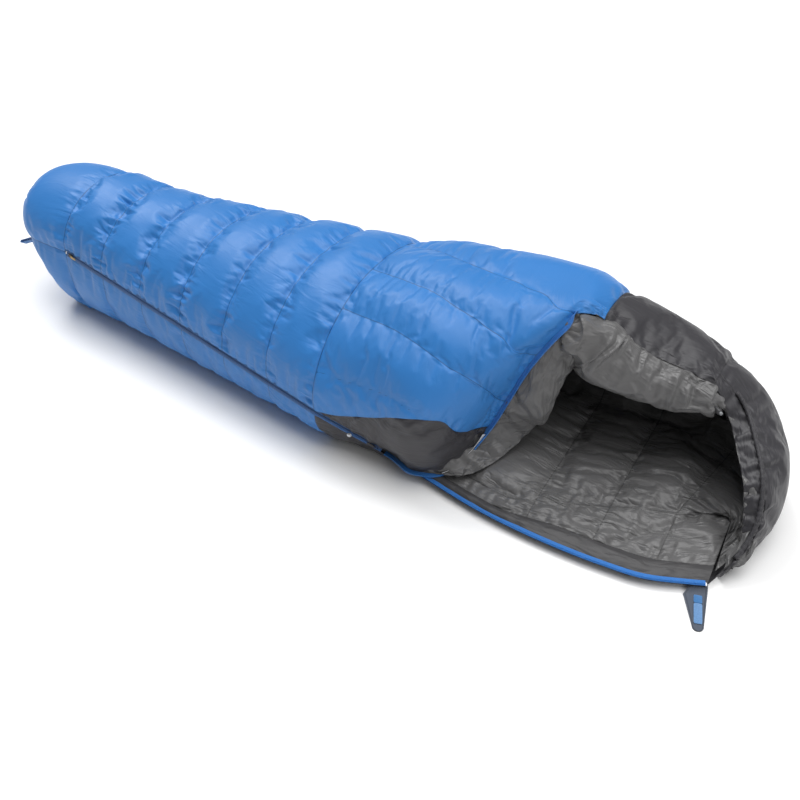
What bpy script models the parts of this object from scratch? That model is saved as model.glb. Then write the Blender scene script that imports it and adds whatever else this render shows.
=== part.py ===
"""A mummy sleeping bag lying on its back quilt, with its side zip open at the head.

Metres, +Z up, +X from the foot towards the hood, and the zip on the -Y side.
The bag is drawn from rails: smooth curves along its length for the zip edge, the crown,
the widest line and the ground. Each quilt is a stretch of the surface between those
rails, thickened inwards, with its own edges left open around the hollow for the sleeper.
"""

import math

import bmesh
import bpy
import numpy as np

# Driving dimensions
CENTRE_X = 1.0356  # from the foot end of the rails to the middle of the bag
SEAM_ONE = 0.141  # the first cross seam, between the footbox and the first chamber
CHAMBER = 0.156  # spacing of the cross seams
CHAMBERS = 6
SEAM_LAST = SEAM_ONE + CHAMBERS * CHAMBER
QUILT = 0.020  # thickness of a quilt at its seams
PUFF = 0.010  # how far a chamber swells above its seams
LINING = 0.0016
GAP = 0.0010  # between neighbouring quilts
SKIN_GAP = 0.0050  # between a quilt and its slack lining
ZIP_SLIT = 0.0130  # from the zip's centre line to the quilts beside it
COIL_WIDTH = 0.0054
TAPE_WIDTH = 0.0078
TAPE_THICK = 0.0012
SQUARENESS = 0.85  # below 1 makes the cross-section squarer than an ellipse
ZIP_SPLIT = 1.24  # where the upper slider stands and the two tapes part
FLAP_START = 1.250  # the moving flap begins just beyond the upper slider
FLAP_END = 1.582
FOLD_TOP = 0.68  # v of the fold line at the flap's foot end
NECK_START = 1.65  # the neck baffle begins here
SHOULDER = 1.655  # where the blue shell meets the charcoal one
HOOD_START = 1.927
HOOD_END = 2.47

# Rails: station, then the point or the values there
EDGE = [  # the zip, then the lifted flap's edge, the neck edge and the hood's rim
    (0.141, 0.141, -0.1760, 0.2400), (0.4, 0.4, -0.2081, 0.2110), (0.75, 0.75, -0.2515, 0.1717),
    (1.05, 1.05, -0.2887, 0.1380), (1.077, 1.077, -0.2920, 0.1350), (1.1, 1.1, -0.2847, 0.1220),
    (1.16, 1.16, -0.2655, 0.0882),
    (1.2, 1.2, -0.2528, 0.0656), (1.24, 1.24, -0.240, 0.043), (1.25, 1.25, -0.2368, 0.0374),
    (1.31, 1.305, -0.243, 0.040), (1.36, 1.350, -0.242, 0.037), (1.4, 1.402, -0.212, 0.040),
    (1.425, 1.424, -0.172, 0.062), (1.45, 1.455, -0.128, 0.125), (1.49, 1.483, -0.098, 0.200),
    (1.53, 1.520, -0.062, 0.305), (1.565, 1.565, -0.015, 0.390), (1.6, 1.600, 0.022, 0.424),
    (1.63, 1.635, 0.052, 0.418), (1.69, 1.690, 0.066, 0.382), (1.76, 1.760, 0.077, 0.345),
    (1.86, 1.860, 0.090, 0.318), (1.927, 1.927, 0.091, 0.298), (2.0, 1.974, 0.088, 0.235),
    (2.1, 2.020, 0.028, 0.195), (2.2, 2.062, -0.042, 0.162), (2.3, 2.086, -0.088, 0.105),
    (2.4, 2.096, -0.125, 0.060), (2.48, 2.083, -0.182, 0.030), (2.52, 2.066, -0.218, 0.016),
]
CROWN = [  # the highest line of the shell
    (0.141, 0.141, 0.0, 0.385), (0.3, 0.3, 0.0, 0.372), (0.6, 0.6, 0.0, 0.372), (0.9, 0.9, 0.0, 0.385),
    (1.077, 1.077, 0.0, 0.395), (1.35, 1.35, 0.02, 0.418), (1.5, 1.5, 0.05, 0.428),
    (1.6, 1.6, 0.08, 0.424), (1.69, 1.69, 0.12, 0.395), (1.76, 1.76, 0.14, 0.365),
    (1.86, 1.86, 0.155, 0.335), (1.927, 1.927, 0.155, 0.305), (2.0, 2.005, 0.145, 0.255),
    (2.1, 2.070, 0.072, 0.215), (2.2, 2.112, -0.005, 0.180), (2.3, 2.132, -0.070, 0.125),
    (2.4, 2.120, -0.135, 0.075), (2.48, 2.092, -0.187, 0.036), (2.52, 2.068, -0.217, 0.018),
]
WIDE = [  # the widest line on the far side, and round the back of the hood
    (0.141, 0.141, 0.188, 0.190), (0.3, 0.3, 0.196, 0.186), (0.6, 0.6, 0.238, 0.186),
    (0.9, 0.9, 0.282, 0.190), (1.077, 1.077, 0.305, 0.190), (1.35, 1.35, 0.330, 0.185),
    (1.6, 1.6, 0.335, 0.170), (1.76, 1.76, 0.335, 0.155), (1.927, 1.930, 0.315, 0.130),
    (2.0, 2.020, 0.285, 0.120), (2.1, 2.105, 0.200, 0.110), (2.2, 2.155, 0.090, 0.090),
    (2.3, 2.160, -0.005, 0.066), (2.4, 2.133, -0.085, 0.045), (2.48, 2.102, -0.150, 0.028),
    (2.52, 2.070, -0.215, 0.014),
]
BULGE = [  # how far the near side stands out, and how high: y and z of the profile's handle
    (0.141, -0.188, 0.300), (0.6, -0.245, 0.265), (1.077, -0.325, 0.250), (1.16, -0.345, 0.230),
    (1.24, -0.360, 0.220), (1.36, -0.370, 0.210), (1.425, -0.310, 0.220), (1.49, -0.200, 0.310),
    (1.53, -0.130, 0.370), (1.565, -0.060, 0.420), (1.6, 0.030, 0.432),
]
BED = [  # the open half of the zip, along the near edge of the back quilt
    (1.24, 1.24, -0.240, 0.030), (1.35, 1.352, -0.253, 0.024), (1.53, 1.533, -0.283, 0.020),
    (1.72, 1.722, -0.295, 0.020), (1.84, 1.843, -0.291, 0.020), (1.93, 1.935, -0.280, 0.020),
    (2.02, 2.02, -0.246, 0.018), (2.066, 2.066, -0.222, 0.014),
]
GUSSET = [  # station and v of the seam between the blue shell and the charcoal gusset
    (1.077, 0.018), (1.165, 0.094), (1.245, 0.138), (1.325, 0.169), (1.385, 0.162), (1.43, 0.106),
    (1.455, 0.03), (1.6, 0.0),
]
CREASE = [  # where the flap's padded draft tube, hanging from its edge, turns inwards
    (1.36, 1.405, -0.235, 0.036), (1.4, 1.440, -0.215, 0.036), (1.43, 1.475, -0.165, 0.042),
    (1.455, 1.507, -0.117, 0.062), (1.49, 1.568, -0.062, 0.130), (1.52, 1.600, -0.070, 0.172),
    (1.55, 1.610, -0.040, 0.248), (1.59, 1.627, 0.025, 0.342),
]
FLAP_HINGE = ((1.2, 0.118, 0.408), (1.6, 0.030, 0.437))  # two points on the flap's fold line

BLUE = (0.042, 0.212, 0.552)
BLUE_DEEP = (0.020, 0.095, 0.300)
CHARCOAL = (0.050, 0.049, 0.055)
GREY = (0.150, 0.150, 0.155)
PALE = (0.620, 0.620, 0.600)
BRASS = (0.420, 0.300, 0.120)
STEEL = (0.500, 0.500, 0.510)


# Curves and surfaces


def smooth(table, station):
    """The values at a station of a smooth curve through a rail's rows."""
    stations = np.array([row[0] for row in table])
    values = np.array([row[1:] for row in table])
    slopes = np.gradient(values, stations, axis=0)
    i = int(np.clip(np.searchsorted(stations, station) - 1, 0, len(stations) - 2))
    span = stations[i + 1] - stations[i]
    u = min(max((station - stations[i]) / span, 0.0), 1.0)
    start = (2 * u**3 - 3 * u**2 + 1) * values[i] + (u**3 - 2 * u**2 + u) * span * slopes[i]
    end = (3 * u**2 - 2 * u**3) * values[i + 1] + (u**3 - u**2) * span * slopes[i + 1]
    return start + end


def bezier(a, b, c, d, t):
    return a * (1 - t) ** 3 + 3 * b * t * (1 - t) ** 2 + 3 * c * t * t * (1 - t) + d * t**3


def quarter(start, end, t):
    """A quarter of a rounded square from start, where it is level, to end, where it is upright."""
    across = math.sin(t * math.pi / 2) ** SQUARENESS
    rise = max(math.cos(t * math.pi / 2), 0.0) ** SQUARENESS
    level = start + (end - start) * across
    return np.array([level[0], level[1], end[2] + (start[2] - end[2]) * rise])


def upper(station, v):
    """The shell above the ground: v runs from the zip (0) over the crown (0.5) to the widest line (1)."""
    edge, crown, wide = smooth(EDGE, station), smooth(CROWN, station), smooth(WIDE, station)
    if v > 0.5:
        return quarter(crown, wide, 2 * v - 1)
    if station < 1.6:
        y, z = smooth(BULGE, station)
        low = np.array([edge[0], y, max(z, edge[2] + 0.01)])
        high = np.array([(edge[0] + crown[0]) / 2, crown[1] + (y - crown[1]) * 0.55, crown[2]])
    else:
        low = edge + (crown - edge) * 0.35 + np.array([0, 0, 0.06 * min(crown[2], 0.2)])
        high = np.append((crown + (edge - crown) * 0.45)[:2], crown[2])
    return bezier(edge, low, high, crown, 2 * v)


def ground_edges(station):
    """Where the back quilt meets the ground, on its near and its far side."""
    wide = smooth(WIDE, station)
    near = smooth(BED, station)[1] + 0.035 if station > ZIP_SPLIT else None
    slim = -0.5 * wide[1]
    if near is None:
        blend = min(max((station - 1.0) / (ZIP_SPLIT - 1.0), 0), 1)
        near = slim + (-0.205 - slim) * blend
    return near, 0.62 * wide[1]


def under(station, w):
    """The back quilt: w runs from the zip (0) along the ground (0.35 to 0.65) to the widest line (1)."""
    near = smooth(BED, station) if station > ZIP_SPLIT else smooth(EDGE, station)
    wide = smooth(WIDE, station)
    near_ground, far_ground = ground_edges(station)
    x = station
    if w < 0.35:
        near = np.array([x, near[1], near[2]])
        side = np.array([x, near[1] - 0.10 * near[2], near[2] * 0.45])
        foot = np.array([x, near_ground + (near[1] - near_ground) * 0.5, 0.0])
        return bezier(near, side, foot, np.array([x, near_ground, 0.0]), w / 0.35)
    if w < 0.65:
        return np.array([x, near_ground + (far_ground - near_ground) * (w - 0.35) / 0.30, 0.0])
    turn = (w - 0.65) / 0.35 * math.pi / 2
    across = math.sin(turn) ** SQUARENESS
    lift = 1 - max(math.cos(turn), 0.0) ** SQUARENESS
    return np.array([x, far_ground + (wide[1] - far_ground) * across, wide[2] * lift])


def hood(station, v):
    """The hood's wall: as the upper shell, then from the widest line (1) in to the ground (1.5)."""
    if v <= 1:
        return upper(station, v)
    wide = smooth(WIDE, station)
    middle = np.array([1.96, 0.02, 0.0])
    inward = (middle - wide) * np.array([1, 1, 0])
    inward = inward / np.linalg.norm(inward) * 0.35 * min(wide[2], 0.1)
    turn = (v - 1) * math.pi
    return np.array([*(wide + inward * (1 - math.cos(turn)))[:2], wide[2] * (1 - math.sin(turn))])


def normal(surface, station, v, top=1.0):
    """The outward normal of a surface, kept across the bag up to the hood so that seams stay flat."""
    dv, ds = 0.004, 0.002
    a, b = max(v - dv, 0.0), min(v + dv, top)
    across = surface(station, b) - surface(station, a)
    along = surface(station + ds, v) - surface(station - ds, v)
    n = np.cross(along, across)
    n[0] *= min(max((station - HOOD_START) / 0.06, 0.0), 1.0)
    return n / np.linalg.norm(n)


def v_at_y(station, y):
    """The v of the upper shell's far half where it crosses a given y."""
    low, high = 0.5, 1.0
    for _ in range(30):
        v = (low + high) / 2
        low, high = (v, high) if upper(station, v)[1] < y else (low, v)
    return v


def v_after(surface, station, distance):
    """The v a short distance in from the zip edge."""
    return distance * 0.01 / np.linalg.norm(surface(station, 0.01) - surface(station, 0.0))


def fold_v(station):
    """The v of the flap's fold line, which ends at the flap's corner."""
    start, end = np.array(FLAP_HINGE)
    y = start[1] + (end[1] - start[1]) * (station - start[0]) / (end[0] - start[0])
    if upper(station, 0.5)[1] < y:
        return v_at_y(station, y)
    low, high = 0.0, 0.5
    for _ in range(30):
        v = (low + high) / 2
        low, high = (v, high) if upper(station, v)[1] < y else (low, v)
    return v


# Making objects


def world(point):
    return (float(point[0]) - CENTRE_X, float(point[1]), float(point[2]))


def material(name, colour, roughness, metallic):
    made = bpy.data.materials.new(name)
    made.use_nodes = True
    shader = made.node_tree.nodes["Principled BSDF"]
    shader.inputs["Base Color"].default_value = (*colour, 1.0)
    shader.inputs["Roughness"].default_value = roughness
    shader.inputs["Metallic"].default_value = metallic
    return made


def add_object(name, mesh_data, colour, roughness=0.5, metallic=0.0, parent=None):
    """A mesh from a bmesh, with its own material, optionally under an empty."""
    bmesh.ops.recalc_face_normals(mesh_data, faces=mesh_data.faces)
    if mesh_data.calc_volume(signed=True) < 0:
        bmesh.ops.reverse_faces(mesh_data, faces=mesh_data.faces)
    mesh = bpy.data.meshes.new(name)
    mesh_data.to_mesh(mesh)
    mesh_data.free()
    mesh.materials.append(material(name, colour, roughness, metallic))
    mesh.shade_smooth()
    mesh.set_sharp_from_angle(angle=math.radians(40))
    made = bpy.data.objects.new(name, mesh)
    bpy.context.scene.collection.objects.link(made)
    if parent:
        made.parent = parent
        made.matrix_parent_inverse = parent.matrix_world.inverted()
    return made


def joint_empty(name, point):
    """An empty on a joint's axis, for the moving pieces to hang from."""
    empty = bpy.data.objects.new(name, None)
    empty.location = world(point)
    bpy.context.scene.collection.objects.link(empty)
    bpy.context.view_layer.update()
    return empty


def slab(outer, inner):
    """A closed bmesh between two grids of points of the same size."""
    made = bmesh.new()
    rows, columns = len(outer), len(outer[0])
    faces = []
    for grid in (outer, inner):
        verts = [[made.verts.new(world(p)) for p in row] for row in grid]
        faces.append(verts)
        for i in range(rows - 1):
            for j in range(columns - 1):
                made.faces.new((verts[i][j], verts[i + 1][j], verts[i + 1][j + 1], verts[i][j + 1]))
    rim = [(0, j) for j in range(columns)]
    rim += [(i, columns - 1) for i in range(1, rows)]
    rim += [(rows - 1, j) for j in range(columns - 2, -1, -1)]
    rim += [(i, 0) for i in range(rows - 2, 0, -1)]
    a, b = faces
    for (i, j), (k, m) in zip(rim, rim[1:] + rim[:1]):
        made.faces.new((a[i][j], a[k][m], b[k][m], b[i][j]))
    return made


def full(station):
    return 1.0


def quilt(surface, stations, v_range, columns, depth=(0.0, QUILT), puff=0.0, top=1.0, thin=full):
    """Two grids over a stretch of a surface: v_range(station) gives the first and last v."""
    outer, inner = [], []
    for i, station in enumerate(stations):
        swell = puff * math.sin(math.pi * i / (len(stations) - 1)) ** 0.6 if puff else 0.0
        first, last = v_range(station)
        outer.append([])
        inner.append([])
        for j in range(columns + 1):
            t = j / columns
            v = first + (last - first) * t
            point, n = surface(station, v), normal(surface, station, v, top)
            side = min(1.0, 8 * t, 8 * (1 - t))
            outer[-1].append(point + n * (swell * side - depth[0] * thin(station)))
            inner[-1].append(point - n * depth[1] * thin(station))
    return outer, inner


def between(start, end, count):
    return [start + (end - start) * i / count for i in range(count + 1)]


def tube(points, radius, sides=8, squash=1.0):
    """A closed round bar along a smooth run of points, of one radius or one for each point."""
    made = bmesh.new()
    points = [np.array(p, float) for p in points]
    radii = radius if isinstance(radius, list) else [radius] * len(points)
    rings = []
    for i, point in enumerate(points):
        t = points[min(i + 1, len(points) - 1)] - points[max(i - 1, 0)]
        t = t / np.linalg.norm(t)
        side = np.cross(t, (0, 0, 1))
        side = side / np.linalg.norm(side)
        up = np.cross(side, t)
        turns = [2 * math.pi * k / sides for k in range(sides)]
        ring = [point + radii[i] * (side * math.cos(a) + up * math.sin(a) * squash) for a in turns]
        rings.append([made.verts.new(world(p)) for p in ring])
    for a, b in zip(rings, rings[1:]):
        for k in range(sides):
            made.faces.new((a[k], a[(k + 1) % sides], b[(k + 1) % sides], b[k]))
    made.faces.new(rings[0])
    made.faces.new(rings[-1][::-1])
    return made


def ribbon(frames, across, up):
    """A closed strip of rectangular section: across and up are its (low, high) offsets."""
    top, bottom = [], []
    for point, side, n in frames:
        top.append([point + side * across[0] + n * up[1], point + side * across[1] + n * up[1]])
        bottom.append([point + side * across[0] + n * up[0], point + side * across[1] + n * up[0]])
    return slab(top, bottom)


def box(centre, axes, sizes, bevel=0.0):
    """A box with its sizes along its own three axes."""
    made = bmesh.new()
    bmesh.ops.create_cube(made, size=1.0)
    if np.cross(axes[0], axes[1]) @ np.array(axes[2]) < 0:
        axes = (axes[0], -np.array(axes[1]), axes[2])
    for vert in made.verts:
        offset = sum(np.array(axes[k]) * vert.co[k] * sizes[k] for k in range(3))
        vert.co = world(np.array(centre) + offset)
    if bevel:
        edges = made.edges[:]
        bmesh.ops.bevel(made, geom=edges, offset=bevel, segments=1, affect="EDGES", clamp_overlap=True)
    return made


# The shell's quilts


def zip_side(station):
    return v_after(upper, station, ZIP_SLIT)


def under_side(station):
    return 0.35 * ZIP_SLIT / 0.10 if station > ZIP_SPLIT else v_after(under, station, ZIP_SLIT)


def leg_chambers():
    for i in range(CHAMBERS):
        start = SEAM_ONE + i * CHAMBER + GAP / 2
        stations = between(start, start + CHAMBER - GAP, 4)
        top = quilt(upper, stations, lambda s: (zip_side(s), 0.999), 18, puff=PUFF)
        add_object(f"leg_chamber_{i + 1}", slab(*top), BLUE)
        back = quilt(under_reversed, stations, lambda s: (0.001, 1 - under_side(s)), 16)
        add_object(f"back_chamber_{i + 1}", slab(*back), BLUE)


def under_reversed(station, v):
    return under(station, 1 - v)


def ring(station):
    """One closed loop round the bag: over the top from the zip, and back along the ground."""
    over = [upper(station, v) for v in between(0, 1, 16)]
    return over + [under(station, w) for w in between(1, 0, 14)[1:-1]]


def footbox():
    """The closed foot end: loops that shrink towards a blunt toe, leaning back at the ground."""
    base = ring(SEAM_ONE - GAP / 2)
    made = bmesh.new()
    rims = []
    for depth in (0.0, QUILT):
        loops = []
        for t in between(0, 0.96, 8):
            loops.append([made.verts.new(world(toe_point(p, base[0][0], t, depth))) for p in base])
        rims.append(loops[0])
        join_loops(made, loops)
        made.faces.new(loops[-1])
    join_loops(made, rims)
    flatten_underside(made)
    add_object("footbox", made, BLUE)


def toe_point(base, base_x, t, depth):
    """A point of the footbox: t runs from its seam (0) to the toe (1), depth goes into its wall."""
    middle = np.array([SEAM_ONE, 0.0, 0.19])
    spoke = base - middle
    spoke = spoke * (1 - depth / np.linalg.norm(spoke))
    reach = 0.125 + 0.085 * min(base[2] / 0.30, 1.0) - depth
    shrink = math.cos(t * math.pi / 2) ** 0.5 * (1 + 0.05 * math.sin(t * math.pi))
    point = middle + spoke * shrink
    point[0] = base_x - reach * math.sin(t * math.pi / 2)
    return point


def join_loops(mesh_data, loops):
    for a, b in zip(loops, loops[1:]):
        for k in range(len(a)):
            n = (k + 1) % len(a)
            mesh_data.faces.new((a[k], a[n], b[n], b[k]))


def flatten_underside(mesh_data):
    for vert in mesh_data.verts:
        vert.co.z = max(vert.co.z, 0.0)


def flap_edge(v, depth=0.0):
    """The station of the flap's foot end, in a plane across the fold line so that it swings clear."""
    hinge, end = np.array(FLAP_HINGE)
    axis = end - hinge
    start = upper(FLAP_START, 0.0)
    station = FLAP_START
    for _ in range(4):
        point = upper(station, v) - normal(upper, station, v) * depth
        station += start[0] - point[0] - ((point - start)[1:] @ axis[1:]) / axis[0]
    return station


def leaning(start, end, first_v, last_v, rows, columns, depth=(0.0, QUILT)):
    """Two grids between two leaning ends: start(v) and end(v) are the stations of the ends."""
    outer, inner = [], []
    for t in between(0, 1, rows):
        outer.append([])
        inner.append([])
        for k in between(0, 1, columns):
            station = start(0.3) + (end(0.3) - start(0.3)) * t
            for _ in range(2):
                v = first_v(station) + (last_v(station) - first_v(station)) * k
                station = start(v) + (end(v) - start(v)) * t
            point, n = upper(station, v), normal(upper, station, v)
            outer[-1].append(point - n * depth[0])
            inner[-1].append(point - n * depth[1])
    return outer, inner


def before_flap(v):
    """The last station of the quilts on the foot side of the flap."""
    return flap_edge(min(v, FOLD_TOP)) - GAP


def below_seam(station):
    return smooth(GUSSET, station)[0] - 0.002


def above_seam(station):
    return smooth(GUSSET, station)[0] + 0.002


def widest(station):
    return 0.999


def chest():
    """The blue chest shell round the flap, the fixed part of the charcoal gusset, and the shoulder."""
    first = SEAM_LAST + GAP / 2
    low = leaning(lambda v: first, before_flap, above_seam, widest, 5, 18)
    add_object("chest_quilt", slab(*low), BLUE)
    gusset = leaning(lambda v: 1.10, before_flap, zip_side, below_seam, 5, 4)
    add_object("zip_gusset", slab(*gusset), CHARCOAL)
    far = between(flap_edge(FOLD_TOP) + GAP, FLAP_END + 0.002, 7)
    blue = quilt(upper, far, lambda s: (fold_v(s) + 0.004, 0.999), 14)
    add_object("far_chest_quilt", slab(*blue), BLUE)
    neck = quilt(upper, between(FLAP_END + 0.003, SHOULDER - GAP, 2), lambda s: (0.002, 0.999), 18)
    add_object("neck_quilt", slab(*neck), BLUE)
    shoulder = quilt(upper, between(SHOULDER, HOOD_START - GAP, 5), lambda s: (0.002, 0.999), 14)
    add_object("shoulder_panel", slab(*shoulder), CHARCOAL)


def flap(parent):
    """The near side of the chest from the fold line down to the open zip."""
    def grid(first_v, last_v, columns, depth=(0.0, QUILT), end=FLAP_END):
        def start(v):
            return flap_edge(v, depth[1]) + 2 * GAP

        return leaning(start, lambda v: end, first_v, last_v, 14, columns, depth)

    def seam(station):
        return max(above_seam(station), zip_side(station))

    def fold(station):
        return max(fold_v(station) - 0.004, seam(station) + 0.02)

    add_object("chest_flap", slab(*grid(seam, fold, 10)), BLUE, parent=parent)
    gusset = grid(zip_side, below_seam, 4, end=1.43)
    add_object("flap_gusset", slab(*gusset), CHARCOAL, parent=parent)
    lining = grid(zip_side, fold, 12, lining_depth())
    add_object("flap_lining", slab(*lining), GREY, parent=parent)
    padding = [(smooth(EDGE, s) + smooth(CREASE, s)) / 2 for s in between(1.40, 1.58, 12)]
    thick = [min(0.55 * (p[2] - 0.032), 0.024) for p in padding]
    add_object("flap_draft_tube", tube(padding, thick, 8), GREY, parent=parent)
    half = TAPE_THICK / 2
    tape = grid(lambda s: zip_side(s) * 0.20, lambda s: zip_side(s) * 0.68, 1, (-half, half))
    add_object("flap_zip_tape", slab(*tape), BLUE_DEEP, 0.7, parent=parent)


def lining_depth():
    return QUILT + SKIN_GAP, QUILT + SKIN_GAP + LINING


def hood_thin(station):
    """The hood's quilt thins towards the zip's top corner, where its wall is low."""
    return min(1.0, max(smooth(CROWN, station)[2] / 0.20, 0.22))


def torso_and_head():
    """The charcoal back quilt under the chest, its flat head end, and the hood's wall."""
    seams = [SEAM_LAST, 1.30, 1.644, 1.80, HOOD_START]
    for i, (start, end) in enumerate(zip(seams, seams[1:])):
        stations = between(start + GAP / 2, end - GAP / 2, 4)
        back = quilt(under_reversed, stations, lambda s: (0.001, 1 - under_side(s)), 16)
        add_object(f"torso_back_{i + 1}", slab(*back), CHARCOAL)
    stations = between(HOOD_START, HOOD_END, 12)
    wall = quilt(hood, stations, lambda s: (0.002, 1.495), 18, top=1.5, thin=hood_thin)
    add_object("hood_quilt", slab(*wall), CHARCOAL)
    near, far = head_outline()
    add_object("head_back", slab(*plate(near, far, 0.0, 0.020)), CHARCOAL)
    near, far = head_outline(0.002)
    add_object("head_lining", slab(*plate(near, far, 0.020 + SKIN_GAP, 0.022)), GREY)


def head_outline(inset=0.0):
    """The near and the far outline of the head end on the ground, meeting at the hood's back."""
    near, far = [], []
    middle = np.array([1.93, 0.02, 0.0])
    for t in between(0, 1, 8):
        if t < 0.5:
            p = smooth(BED, HOOD_START + 0.014 + (2.050 - HOOD_START - 0.014) * t / 0.5)
            p = p + np.array([0.0, 0.014 + inset, 0.0])
        else:
            p = rounded_in(2.46 - (2.46 - 2.27) * (t - 0.5) / 0.5, middle, 0.026 + inset)
        near.append(p)
        q = rounded_in(HOOD_START + 0.002 + (2.262 - HOOD_START - 0.002) * t, middle, 0.030 + inset)
        q[0] = max(q[0], HOOD_START + 0.014)
        far.append(q)
    return near, far


def rounded_in(station, middle, inset):
    """A point on the hood's foot, moved in towards the middle of the head end."""
    foot = hood(station, 1.5)
    inward = (middle - foot) * np.array([1, 1, 0])
    return foot + inward / np.linalg.norm(inward) * inset


def plate(near, far, low, high):
    """Two grids for a flat plate between two outlines."""
    top, bottom = [], []
    for a, b in zip(near, far):
        line = [a + (b - a) * c / 6 for c in range(7)]
        top.append([np.array([p[0], p[1], high]) for p in line])
        bottom.append([np.array([p[0], p[1], low]) for p in line])
    return top, bottom


def linings():
    """The thin inner skins, one for the legs, one for the torso and one for the hood."""
    depth = lining_depth()

    def wrap(stations, start, count):
        outer, inner = [], []
        for s in stations:
            outer.append([])
            inner.append([])
            for surface, first, last in ((upper, start(s), 0.998), (under, 0.998, under_side(s))):
                for v in between(first, last, count):
                    point, n = surface(s, v), normal(surface, s, v)
                    n = n if surface is upper else -n
                    outer[-1].append(point - n * depth[0])
                    inner[-1].append(point - n * depth[1])
        return outer, inner

    legs = wrap(between(SEAM_ONE + 0.02, FLAP_START - 0.060, 14), zip_side, 14)
    add_object("leg_lining", slab(*legs), GREY)
    stations = between(FLAP_START - 0.056, HOOD_START - 0.002, 10)
    torso = wrap(stations, lambda s: max(fold_v(s) + 0.02, 0.45), 14)
    add_object("torso_lining", slab(*torso), GREY)
    stations = between(HOOD_START + 0.002, HOOD_END - 0.13, 10)
    wall = quilt(hood, stations, lambda s: (0.02, 1.40), 16, depth=depth, top=1.5)
    add_object("hood_lining", slab(*wall), GREY)


# The zip


ZIP_NORMAL = np.array([0.0, -0.98, 0.20])
BED_NORMAL = np.array([0.0, -0.30, 0.954])


def zip_frame(table, station, n=ZIP_NORMAL):
    """Point, sideways and outward directions of the zip at a station."""
    point = smooth(table, station)
    t = smooth(table, station + 0.002) - smooth(table, station - 0.002)
    t = t / np.linalg.norm(t)
    n = n - t * (n @ t)
    n = n / np.linalg.norm(n)
    return point, np.cross(t, n), n


def zips(parent):
    """The closed length of the zip, and the two open halves beyond the upper slider."""
    near = TAPE_WIDTH + COIL_WIDTH / 2
    gap = COIL_WIDTH / 2 + 0.0003
    closed = [zip_frame(EDGE, s) for s in between(SEAM_ONE + 0.008, ZIP_SPLIT, 20)]
    thick = (-TAPE_THICK / 2, TAPE_THICK / 2)
    coil = ribbon(closed, (-COIL_WIDTH / 2, COIL_WIDTH / 2), (-0.0012, 0.0012))
    add_object("zip_coil", coil, BLUE_DEEP, 0.35)
    add_object("zip_tape_upper", ribbon(closed, (-near, -gap), thick), BLUE_DEEP, 0.7)
    add_object("zip_tape_lower", ribbon(closed, (gap, near), thick), BLUE_DEEP, 0.7)
    open_bed = [zip_frame(BED, s, BED_NORMAL) for s in between(ZIP_SPLIT + 0.030, 2.060, 24)]
    row = (-0.0014, 0.0014), (-0.0012, 0.0012)
    add_object("bed_zip_coil", ribbon(open_bed, *row), BLUE_DEEP, 0.35)
    add_object("bed_zip_tape", ribbon(open_bed, (-near, -0.0018), thick), BLUE_DEEP, 0.7)
    flap_zip = []
    for s in between(FLAP_START + 0.006, FLAP_END - 0.004, 22):
        point, n = upper(s, 0.0), normal(upper, s, 0.004)
        t = upper(s + 0.002, 0) - upper(s - 0.002, 0)
        t = t / np.linalg.norm(t)
        flap_zip.append((point, np.cross(n, t), n))
    add_object("flap_zip_coil", ribbon(flap_zip, *row), BLUE_DEEP, 0.35, parent=parent)
    for i, k in enumerate((9, 11)):
        point, side, n = flap_zip[k]
        t = np.cross(side, n)
        centre = point + side * 0.0076 + n * 0.0066
        label = box(centre, (t, side, n), (0.013, 0.0080, 0.0007))
        add_object(f"care_label_{i + 1}", label, PALE, 0.8, parent=parent)


def slider(name, station, heading, colour):
    """A zip slider above the coil, on an empty, with its puller on a second empty."""
    point, side, n = zip_frame(EDGE, station)
    t = np.cross(n, side) * heading
    stand = joint_empty(f"{name}_slider_travel", point)
    body = box(point + n * 0.0042, (t, side, n), (0.019, 0.0108, 0.0040))
    add_object(f"{name}_slider", body, colour, 0.35, 0.9, parent=stand)
    hinge = point + n * 0.0084
    pivot = joint_empty(f"{name}_puller_hinge", hinge)
    puller = box(hinge + t * 0.0135, (t, side, n), (0.026, 0.0064, 0.0016))
    add_object(f"{name}_puller", puller, BRASS, 0.4, 0.8, parent=pivot)


def stops_and_stud():
    """The zip's bottom stop at the foot, its top stop at the hood, and a snap beside the slider."""
    point, side, n = zip_frame(EDGE, SEAM_ONE + 0.0042)
    t = np.cross(n, side)
    stop = box(point, (t, side, n), (0.0046, 0.009, 0.004), 0.0008)
    add_object("zip_bottom_stop", stop, STEEL, 0.35, 0.9)
    point, side, n = zip_frame(BED, 2.0635, BED_NORMAL)
    t = np.cross(n, side)
    top = box(point, (t, side, n), (0.004, 0.006, 0.004), 0.0008)
    add_object("zip_top_stop", top, STEEL, 0.35, 0.9)
    point, side, n = zip_frame(EDGE, 1.165)
    centre = point + side * 0.0108 + n * 0.0030
    stud = tube([centre, centre + n * 0.0014, centre + n * 0.0028], 0.0042, 12)
    add_object("snap_stud", stud, PALE, 0.3, 0.6)


# Trim


def annulus(points, outer_radius, inner_radius, sides=8):
    """A hollow tunnel along a run of points, open at both ends."""
    made = bmesh.new()
    layers = []
    for radius in (outer_radius, inner_radius):
        rings = []
        for i, point in enumerate(points):
            t = points[min(i + 1, len(points) - 1)] - points[max(i - 1, 0)]
            t = t / np.linalg.norm(t)
            side = np.cross(t, (0, 0, 1))
            side = side / np.linalg.norm(side)
            up = np.cross(side, t)
            turns = [2 * math.pi * k / sides for k in range(sides)]
            ring = [point + radius * (side * math.cos(a) + up * math.sin(a)) for a in turns]
            rings.append([made.verts.new(world(p)) for p in ring])
        join_loops(made, rings)
        layers.append(rings)
    for end in (0, -1):
        join_loops(made, [layers[0][end], layers[1][end]])
    return made


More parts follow.
